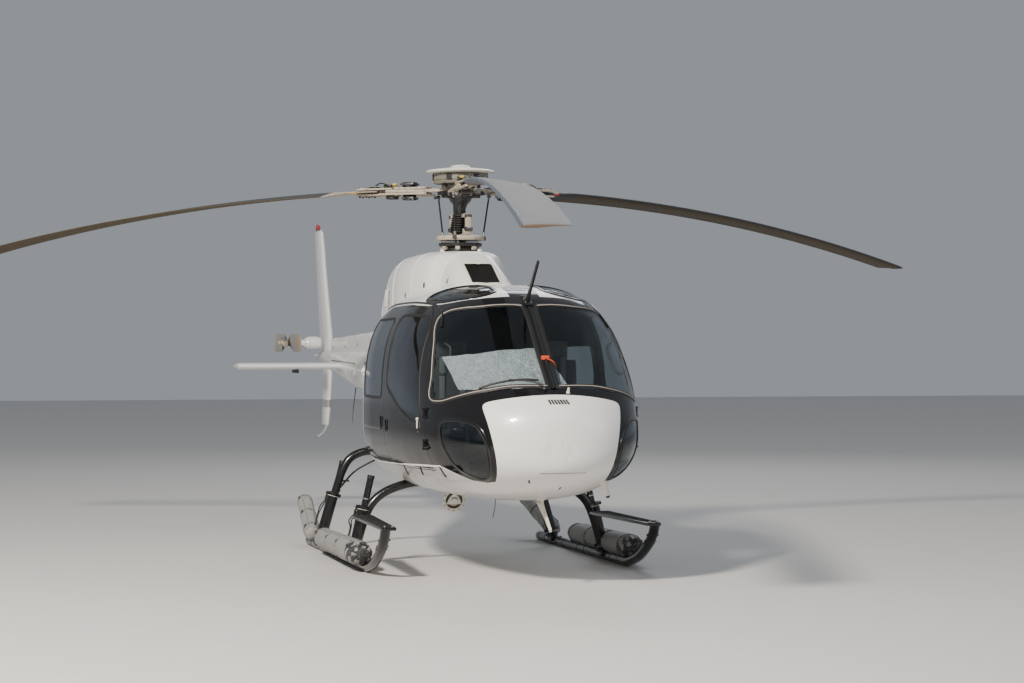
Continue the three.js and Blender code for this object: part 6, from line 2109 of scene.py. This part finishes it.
class HELICOPTER_OT_floats(Operator):
    """Packed float bags on the skids, with seams, lashings and end covers"""

    bl_idname = "helicopter.floats"
    bl_label = "Float bags"

    END = Curve((0, 0.006, 0.015, 0.03, 0.07, 0.12, 0.5, 0.88, 0.95, 0.985, 1),
                (0.34, 0.55, 0.70, 0.82, 0.94, 1, 0.985, 1, 0.93, 0.74, 0.36))

    def execute(self, context):
        n = 56
        for side, sign in SIDES:
            for name, start, stop in BAGS:
                p = Part("float_bag_" + name + "_cloth_" + side)
                a, b = np.array(start), np.array(stop)
                long = float(np.linalg.norm((b - a)[:3]))
                rows = int(long / 0.012)
                count = sizes().bag_lashings if name == "front" else sizes().bag_lashings // 2 + 1
                ties = [0.135] + list(np.linspace(0.135, 0.93, count + 1))[1:]
                rings = []
                way = Vector((sign * (b[0] - a[0]), b[1] - a[1], b[2] - a[2])).normalized()
                out, up = basis(way)
                if out.x * sign < 0:
                    out = -out
                for k in range(rows + 1):
                    t = k / rows
                    c = a + (b - a) * t
                    mid = Vector((sign * c[0], c[1], c[2] - PLATE))
                    r = c[3] * float(self.END(t)[0])
                    pinch = sum(math.exp(-((t - s) * long / 0.020) ** 2) for s in ties)
                    gather = sum(math.exp(-((t - s) * long / 0.070) ** 2) for s in ties)
                    ring = []
                    for i in range(n):
                        ang = 2 * math.pi * i / n
                        dx, dz = math.cos(ang), math.sin(ang)
                        q = Vector((dx * 1.7, t * long * 5.0, dz * 1.7)) + Vector((7 * sign, 0, len(name)))
                        wrinkle = noise.noise(q * 1.3) * 0.5 + noise.noise(q * 3.1) * 0.28
                        puckers = math.sin(ang * 17 + 3 * noise.noise(q)) * gather * 0.0032
                        if name == "front" and t < 0.13:
                            puckers += math.sin(ang * 11 + t * 60 + 2 * noise.noise(q)) * 0.0060 * (1 - t / 0.13)
                        lobes = 1 + 0.022 * math.cos(2 * ang + 0.6)
                        flap = 0.006 * max(0.0, math.cos(ang - 1.15)) ** 24
                        grip = r * lobes - 0.0062 * pinch + 0.0090 * wrinkle - puckers + flap - 0.002
                        grip = max(grip, 0.008)
                        ring.append(mid + out * (dx * grip) + up * (dz * grip))
                    rings.append(ring)
                cover = 0.130 if name == "front" else -1

                def pick(ring, place):
                    ang = 2 * math.pi * place / n
                    fold = noise.noise(Vector((math.cos(ang) * 2.0, math.sin(ang) * 2.0, ring * 0.16 + 5 * sign)))
                    dark = fold + 0.30 * math.sin(5 * ang + 0.5 * ring) < 0.16
                    return "end_cover" if ring < cover * rows and (dark or ring < 1) else "bag_cloth"

                p.rings(rings, "bag_cloth", pick=pick)
                for s in ties:
                    k = min(rows - 1, int(s * rows))
                    c = a + (b - a) * s
                    mid = Vector((sign * c[0], c[1], c[2] - PLATE))
                    r = c[3]
                    lash = []
                    for i in range(40):
                        ang = 2 * math.pi * i / 40
                        lash.append(mid + out * (r * 0.985 * math.cos(ang)) + up * (r * 0.985 * math.sin(ang)))
                    p.rings([[q + (q - mid).normalized() * h + way * w for h, w in
                              ((-0.007, -0.008), (0.001, -0.007), (0.002, 0.0), (0.001, 0.007), (-0.007, 0.008))]
                             for q in lash + lash[:1]], "lashing", caps=False)
                    buckle = mid + (out * 0.80 + up * 0.60).normalized() * (r * 0.985)
                    p.box((-0.013, -0.015, -0.002), (0.013, 0.015, 0.005), "dark_steel", 0.002,
                          facing(buckle, buckle - mid, way))
                # Stitched seam along the outer side
                seam = []
                for k in range(2, rows - 1, 2):
                    t = k / rows
                    c = a + (b - a) * t
                    mid = Vector((sign * c[0], c[1], c[2] - PLATE))
                    r = c[3] * float(self.END(t)[0]) + 0.003
                    seam.append(mid + (out * 0.42 + up * 0.91).normalized() * r)
                p.tube(seam, 0.0028, "lashing", 8, straight=True)
                made = p.place(slot="float_fabric", replaces=["float_bag_" + name + "_" + side], angle=70)
        return {"FINISHED"}


class HELICOPTER_OT_cabin(Operator):
    """Seats, bench, console, controls, lining, sunshade and the finishes of the plain inner pieces"""

    bl_idname = "helicopter.cabin"
    bl_label = "Cabin"

    def pad(self, name, low, high, crown=0.014):
        """One upholstered block between two corners: crowned faces, sunk seams and rounded edges."""
        p = Part(name)
        low, high = (low[0], low[1], low[2] - PLATE), (high[0], high[1], high[2] - PLATE)
        low, high = np.array(low, float), np.array(high, float)
        size, middle = high - low, (high + low) / 2
        thin = int(np.argmin(size))
        across = [k for k in range(3) if k != thin]
        n = 26
        half = size / 2

        def grid(sign):
            rows = []
            for i in range(n + 1):
                row = []
                for j in range(n + 1):
                    u, v = 2 * i / n - 1, 2 * j / n - 1
                    eu, ev = 1 - abs(u) ** 7, 1 - abs(v) ** 7
                    q = np.zeros(3)
                    q[across[0]] = u * half[across[0]] * (1 - 0.02 * abs(v) ** 6)
                    q[across[1]] = v * half[across[1]] * (1 - 0.02 * abs(u) ** 6)
                    plump = (1 - u * u) * (1 - v * v)
                    seam = math.exp(-((abs(u) - 0.52) / 0.030) ** 2) + math.exp(-((abs(v) - 0.55) / 0.030) ** 2)
                    wave = noise.noise(Vector((u * 2.3, v * 2.3, sign + middle[0]))) * 0.004
                    q[thin] = sign * (half[thin] * (0.62 + 0.38 * min(1, (eu * ev) ** 0.35)) - crown * (1 - plump)
                                      - 0.006 * min(1.2, seam) * (plump ** 0.3) + wave * plump)
                    row.append(tuple(middle + q))
                rows.append(row)
            return rows

        low_face, top_face = grid(-1), grid(1)
        p.rings(low_face, "seat_cloth", closed=False)
        p.rings(top_face, "seat_cloth", closed=False)

        def border(rows):
            return rows[0][:-1] + [r[-1] for r in rows[:-1]] + rows[-1][:0:-1] + [r[0] for r in rows[:0:-1]]

        top, low_edge = border(top_face), border(low_face)
        rings = []
        for s in np.linspace(0, 1, 7):
            bulge = 0.010 * math.sin(math.pi * s)
            ring = []
            for a, b in zip(top, low_edge):
                q = Vector(a).lerp(Vector(b), s)
                away = Vector(middle) * -1 + q
                away[thin] = 0
                ring.append(q + away.normalized() * bulge)
            rings.append(ring)
        p.rings(rings, "seat_cloth", caps=False)
        p.place(slot="seat_cloth")

    def execute(self, context):
        for side, sign in SIDES:
            x = sign * 0.420
            self.pad("seat_pad_" + side, (x - 0.205, -1.950, 0.965), (x + 0.205, -1.505, 1.078))
            self.pad("seat_back_pad_" + side, (x - 0.205, -1.528, 1.010), (x + 0.205, -1.432, 1.632))
            self.pad("headrest_pad_" + side, (x - 0.125, -1.520, 1.642), (x + 0.125, -1.446, 1.785), crown=0.02)
            p = Part("seat_frame_" + side)
            p.box_at((x - 0.055, -1.895, 0.798), (x + 0.055, -1.565, 0.970), "panel_black", 0.015)
            p.box_at((x - 0.210, -1.955, 0.955), (x + 0.210, -1.500, 0.975), "panel_black", 0.008)
            p.box_at((x - 0.200, -1.440, 1.000), (x + 0.200, -1.424, 1.640), "panel_black", 0.006)
            for dx in (-0.06, 0.06):
                p.tube([at(x + dx, -1.480, 1.60), at(x + dx, -1.482, 1.66)], 0.008, "dark_steel", 12)
            # Harness straps over the back and lap
            for dx in (-0.085, 0.085):
                p.box_at((x + dx - 0.022, -1.542, 1.10), (x + dx + 0.022, -1.536, 1.66), "lashing", 0.002)
                p.box_at((x + dx * 0.8 - 0.022, -1.90, 1.079), (x + dx * 0.8 + 0.022, -1.56, 1.084), "lashing", 0.002)
            p.turned([(0, 0), (0.030, 0), (0.028, 0.010), (0, 0.012)], at(x, -1.66, 1.084), (0, 0, 1), "steel", 24)
            for k in (-1, 1):
                p.tube([at(x + k * 0.150, -1.94, 0.82), at(x + k * 0.150, -1.52, 0.82)], 0.012, "dark_steel", 12)
            p.place(slot="interior_trim", replaces=["seat_front_" + side])
        self.pad("bench_pad", (-0.700, -0.320, 0.905), (0.700, 0.085, 1.028))
        self.pad("bench_back_pad", (-0.690, 0.092, 1.020), (0.690, 0.186, 1.632))
        p = Part("bench_frame")
        p.box_at((-0.655, -0.195, 0.799), (0.655, 0.145, 0.912), "panel_black", 0.012)
        p.box_at((-0.700, 0.182, 1.000), (0.700, 0.198, 1.638), "panel_black", 0.006)
        for x in (-0.45, 0.0, 0.45):
            for dx in (-0.11, 0.11):
                p.box_at((x + dx - 0.022, -0.27, 1.029), (x + dx + 0.022, 0.08, 1.034), "lashing", 0.002)
            p.box_at((x - 0.028, -0.12, 1.034), (x + 0.028, -0.07, 1.046), "steel", 0.004)
        p.place(slot="interior_trim", replaces=["rear_bench"])

        p = Part("grab_handles")
        for _, sign in SIDES:
            loop = [HULL.onto([flank(sign, y, z)], inset)[0] for y, z, inset in
                    ((-2.36, 1.80, 0.035), (-2.385, 1.79, 0.075), (-2.43, 1.68, 0.090), (-2.47, 1.585, 0.075),
                     (-2.46, 1.56, 0.035))]
            p.tube(loop, 0.011, "rubber_black", 14)
        p.place(slot="interior_trim")

        # Instrument console with hooded panel, dials and switches
        p = Part("console")
        p.box_at((-0.105, -2.735, 0.798), (0.105, -2.255, 1.096), "panel_black", 0.014)
        p.box_at((-0.185, -2.775, 1.094), (0.185, -2.566, 1.394), "panel_black", 0.016)
        p.box_at((-0.188, -2.585, 1.374), (0.188, -2.562, 1.399), "seal_beige", 0.008)
        for z, count, r in ((1.330, 3, 0.042), (1.225, 4, 0.036), (1.140, 4, 0.026)):
            for k in range(count):
                x = (k - (count - 1) / 2) * (0.115 if count == 3 else 0.088)
                spot = at(x, -2.567, z)
                p.turned([(0, 0), (r, 0), (r, 0.004), (r * 0.88, 0.006), (r * 0.86, 0.002), (0, 0.002)], spot,
                         (0, 1, 0), "worn_black", 28)
                p.turned([(0, 0.002), (r * 0.84, 0.002), (r * 0.84, 0.0035), (0, 0.0035)], spot, (0, 1, 0),
                         "dial_glass", 28)
                for j in range(8):
                    a = math.pi * j / 4 + 0.2
                    p.box((-0.0012, -0.005, 0), (0.0012, 0.005, 0.001), "cream_paint", 0.0003,
                          Matrix.Translation(spot + Vector((math.sin(a) * r * 0.72, 0.004, math.cos(a) * r * 0.72)))
                          @ Matrix.Rotation(math.pi / 2, 4, "X") @ Matrix.Rotation(a, 4, "Z"))
        for k in range(6):
            for j in range(3):
                p.box_at((-0.078 + 0.028 * k, -2.50 + 0.075 * j, 1.094), (-0.060 + 0.028 * k, -2.46 + 0.075 * j, 1.101),
                         "dark_steel" if (k + j) % 3 else "worn_black", 0.002)
        p.place(slot="interior_trim", replaces=["instrument_console"])

        p = Part("flight_controls")
        for _, sign in SIDES:
            x = sign * 0.420
            stick = [at(x, -2.06, 0.80), at(x, -2.10, 0.92), at(x, -2.06, 1.08), at(x, -2.01, 1.22)]
            p.tube(stick, 0.013, "worn_black", 16)
            p.tube([at(x, -2.014, 1.19), at(x, -2.000, 1.25), at(x, -2.012, 1.32)], lambda t: 0.020 - 0.004 * t,
                   "rubber_black", 18)
            p.turned([(0.045, 0), (0.038, 0.02), (0.024, 0.05), (0.014, 0.06)], at(x, -2.06, 0.798), (0, 0, 1),
                     "rubber_black", 24)
            p.tube([at(x - 0.26, -1.55, 0.88), at(x - 0.26, -1.80, 0.98), at(x - 0.26, -1.96, 1.06)], 0.014,
                   "worn_black", 16)
            p.tube([at(x - 0.26, -1.93, 1.045), at(x - 0.26, -2.03, 1.09)], 0.020, "rubber_black", 16)
            for dx in (-0.09, 0.09):
                p.box_at((x + dx - 0.045, -2.565, 0.93), (x + dx + 0.045, -2.545, 1.00), "dark_steel", 0.006)
                p.tube([at(x + dx, -2.55, 0.94), at(x + dx, -2.50, 0.80)], 0.010, "dark_steel", 12)
        p.place(slot="interior_trim")

        # Lining under the roof, door posts' trim and the shelf ahead of the console
        p = Part("cabin_lining")
        rows = []
        for y in np.linspace(-1.40, 0.27, 22):
            rows.append([tuple(q) for q in HULL.ring(y, np.linspace(0.42, math.pi - 0.42, 40), 0.055)])
        p.rings(rows, "lining", closed=False)
        back = [[tuple(np.array(q) + np.array([0, 0, -0.007])) for q in row] for row in rows]
        p.rings(back, "lining", closed=False)
        for _, sign in SIDES:
            post = [tuple(HULL.onto([(sign * HULL.side(-1.245, z), -1.2225, z - PLATE)], 0.040)[0]) for z in
                    np.linspace(0.86, 2.00, 16)]
            p.tube(post, 0.020, "lining", 14)
        shelf = []
        for y in (-3.02, -2.96, -2.90, -2.84, -2.78):
            w = HULL.side(y, 1.30) - 0.06
            shelf.append([(x, y, 1.30 + 0.05 * (1 - (x / w) ** 2) - PLATE) for x in np.linspace(-w, w, 24)])
        p.rings(shelf, "panel_black", closed=False)
        p.rings([[(x, y, z - 0.010) for x, y, z in row] for row in shelf], "panel_black", closed=False)
        p.place(slot="interior_trim")

        # Crumpled reflective sunshade behind the windscreen
        p = Part("sunshade")
        rows = []
        count_u, count_v = 110, 44
        for j in range(count_v + 1):
            v = j / count_v
            row = []
            for i in range(count_u + 1):
                u = i / count_u
                left, right = -0.640 - 0.060 * v, 0.170 - 0.170 * v
                x = left + (right - left) * u
                z = 1.420 + (0.250 + 0.068 * min(1, u * 1.15)) * v
                q = Vector((x * 6.0, z * 6.0, 1.3))
                crumple = noise.noise(q) * 0.016 + noise.noise(q * 2.7) * 0.012 + noise.noise(q * 6.5) * 0.0065
                row.append((x, HULL.front(x, z) + 0.100 + crumple, z - PLATE + 0.008 * noise.noise(q * 1.7)))
            rows.append(row)
        p.rings(rows, "foil", closed=False)
        made = p.place(slot="interior_trim", angle=180)

        # Plain inner pieces take their finishes here
        for node, kind in (("cabin_floor", "carpet"), ("cabin_bulkhead", "bulkhead_trim"), ("engine", "oily_metal"),
                           ("main_gearbox", "oily_metal"), ("tail_gearbox", "dark_steel"),
                           ("cargo_hook_plate", "dark_steel")):
            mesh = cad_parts[node].data
            mesh.materials.clear()
            mesh.materials.append(finish(kind))
        return {"FINISHED"}


# The photograph's camera as it was solved: place, direction and focal length on a 36 mm wide sensor
CAMERA, LOOK, LENS = (-4.715, -20.468, 1.272), (0.2453, 0.9694, 0.00145), 84.8


class HELICOPTER_OT_stage(Operator):
    """Pale floor, soft studio light and the photograph's camera"""

    bl_idname = "helicopter.stage"
    bl_label = "Stage"

    def execute(self, context):
        scene = context.scene
        mesh = bpy.data.meshes.new("floor")
        reach = 60
        corners = ((-reach, -reach), (reach, -reach), (reach, reach), (-reach, reach))
        mesh.from_pydata([(x, y, GROUND - PLATE) for x, y in corners], [], [(0, 1, 2, 3)])
        mesh.materials.append(finish("floor"))
        floor = bpy.data.objects.new("floor", mesh)
        scene.collection.objects.link(floor)
        world = bpy.data.worlds.new("studio")
        scene.world = world
        world.use_nodes = True
        backdrop = world.node_tree.nodes["Background"]
        backdrop.inputs[0].default_value = (0.56, 0.60, 0.65, 1)
        backdrop.inputs[1].default_value = 0.52
        lights = (
            ("key", (-10.0, -12.5, 11.0), 1.8, 5600, (1.0, 0.93, 0.84)),
            ("fill", (12.0, -9.0, 6.0), 8.0, 260, (0.80, 0.88, 1.0)),
            ("back", (6.0, 14.0, 10.0), 7.0, 420, (0.95, 0.97, 1.0)),
        )
        for name, place, size, power, colour in lights:
            data = bpy.data.lights.new(name, "AREA")
            data.shape = "DISK"
            data.size = size
            data.energy = power
            data.color = colour
            lamp = bpy.data.objects.new(name, data)
            scene.collection.objects.link(lamp)
            lamp.location = place
            aim = Vector((0, -0.5, 1.0)) - Vector(place)
            lamp.rotation_euler = aim.to_track_quat("-Z", "Y").to_euler()
        data = bpy.data.cameras.new("camera")
        data.sensor_width = 36
        data.lens = LENS
        data.clip_end = 200
        camera = bpy.data.objects.new("camera", data)
        scene.collection.objects.link(camera)
        camera.location = CAMERA
        camera.rotation_euler = Vector(LOOK).to_track_quat("-Z", "Y").to_euler()
        scene.camera = camera
        return {"FINISHED"}


PIECES = (
    HELICOPTER_OT_hull,
    HELICOPTER_OT_doors,
    HELICOPTER_OT_glass,
    HELICOPTER_OT_cowlings,
    HELICOPTER_OT_boom,
    HELICOPTER_OT_fins,
    HELICOPTER_OT_tail_rotor,
    HELICOPTER_OT_rotor_head,
    HELICOPTER_OT_blades,
    HELICOPTER_OT_controls,
    HELICOPTER_OT_seals,
    HELICOPTER_OT_fittings,
    HELICOPTER_OT_nose,
    HELICOPTER_OT_top,
    HELICOPTER_OT_gear,
    HELICOPTER_OT_floats,
    HELICOPTER_OT_cabin,
    HELICOPTER_OT_stage,
)


class HELICOPTER_PT_pieces(Panel):
    """The helicopter's pieces and their sizes and colours"""

    bl_label = "Helicopter"
    bl_idname = "HELICOPTER_PT_pieces"
    bl_space_type = "VIEW_3D"
    bl_region_type = "UI"
    bl_category = "Helicopter"

    def draw(self, context):
        layout = self.layout
        for group in (context.scene.helicopter_sizes, context.scene.helicopter_paint):
            for name in group.__annotations__:
                layout.prop(group, name)
        for piece in PIECES:
            layout.operator(piece.bl_idname)


CLASSES = (HelicopterSizes, HelicopterPaint, *PIECES, HELICOPTER_PT_pieces)


def register():
    for cls in CLASSES:
        bpy.utils.register_class(cls)
    bpy.types.Scene.helicopter_sizes = PointerProperty(type=HelicopterSizes)
    bpy.types.Scene.helicopter_paint = PointerProperty(type=HelicopterPaint)


def unregister():
    del bpy.types.Scene.helicopter_sizes
    del bpy.types.Scene.helicopter_paint
    for cls in reversed(CLASSES):
        bpy.utils.unregister_class(cls)


def main():
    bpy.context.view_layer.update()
    register()
    for piece in PIECES:
        group, name = piece.bl_idname.split(".")
        getattr(getattr(bpy.ops, group), name)()


if __name__ == "__main__":
    main()
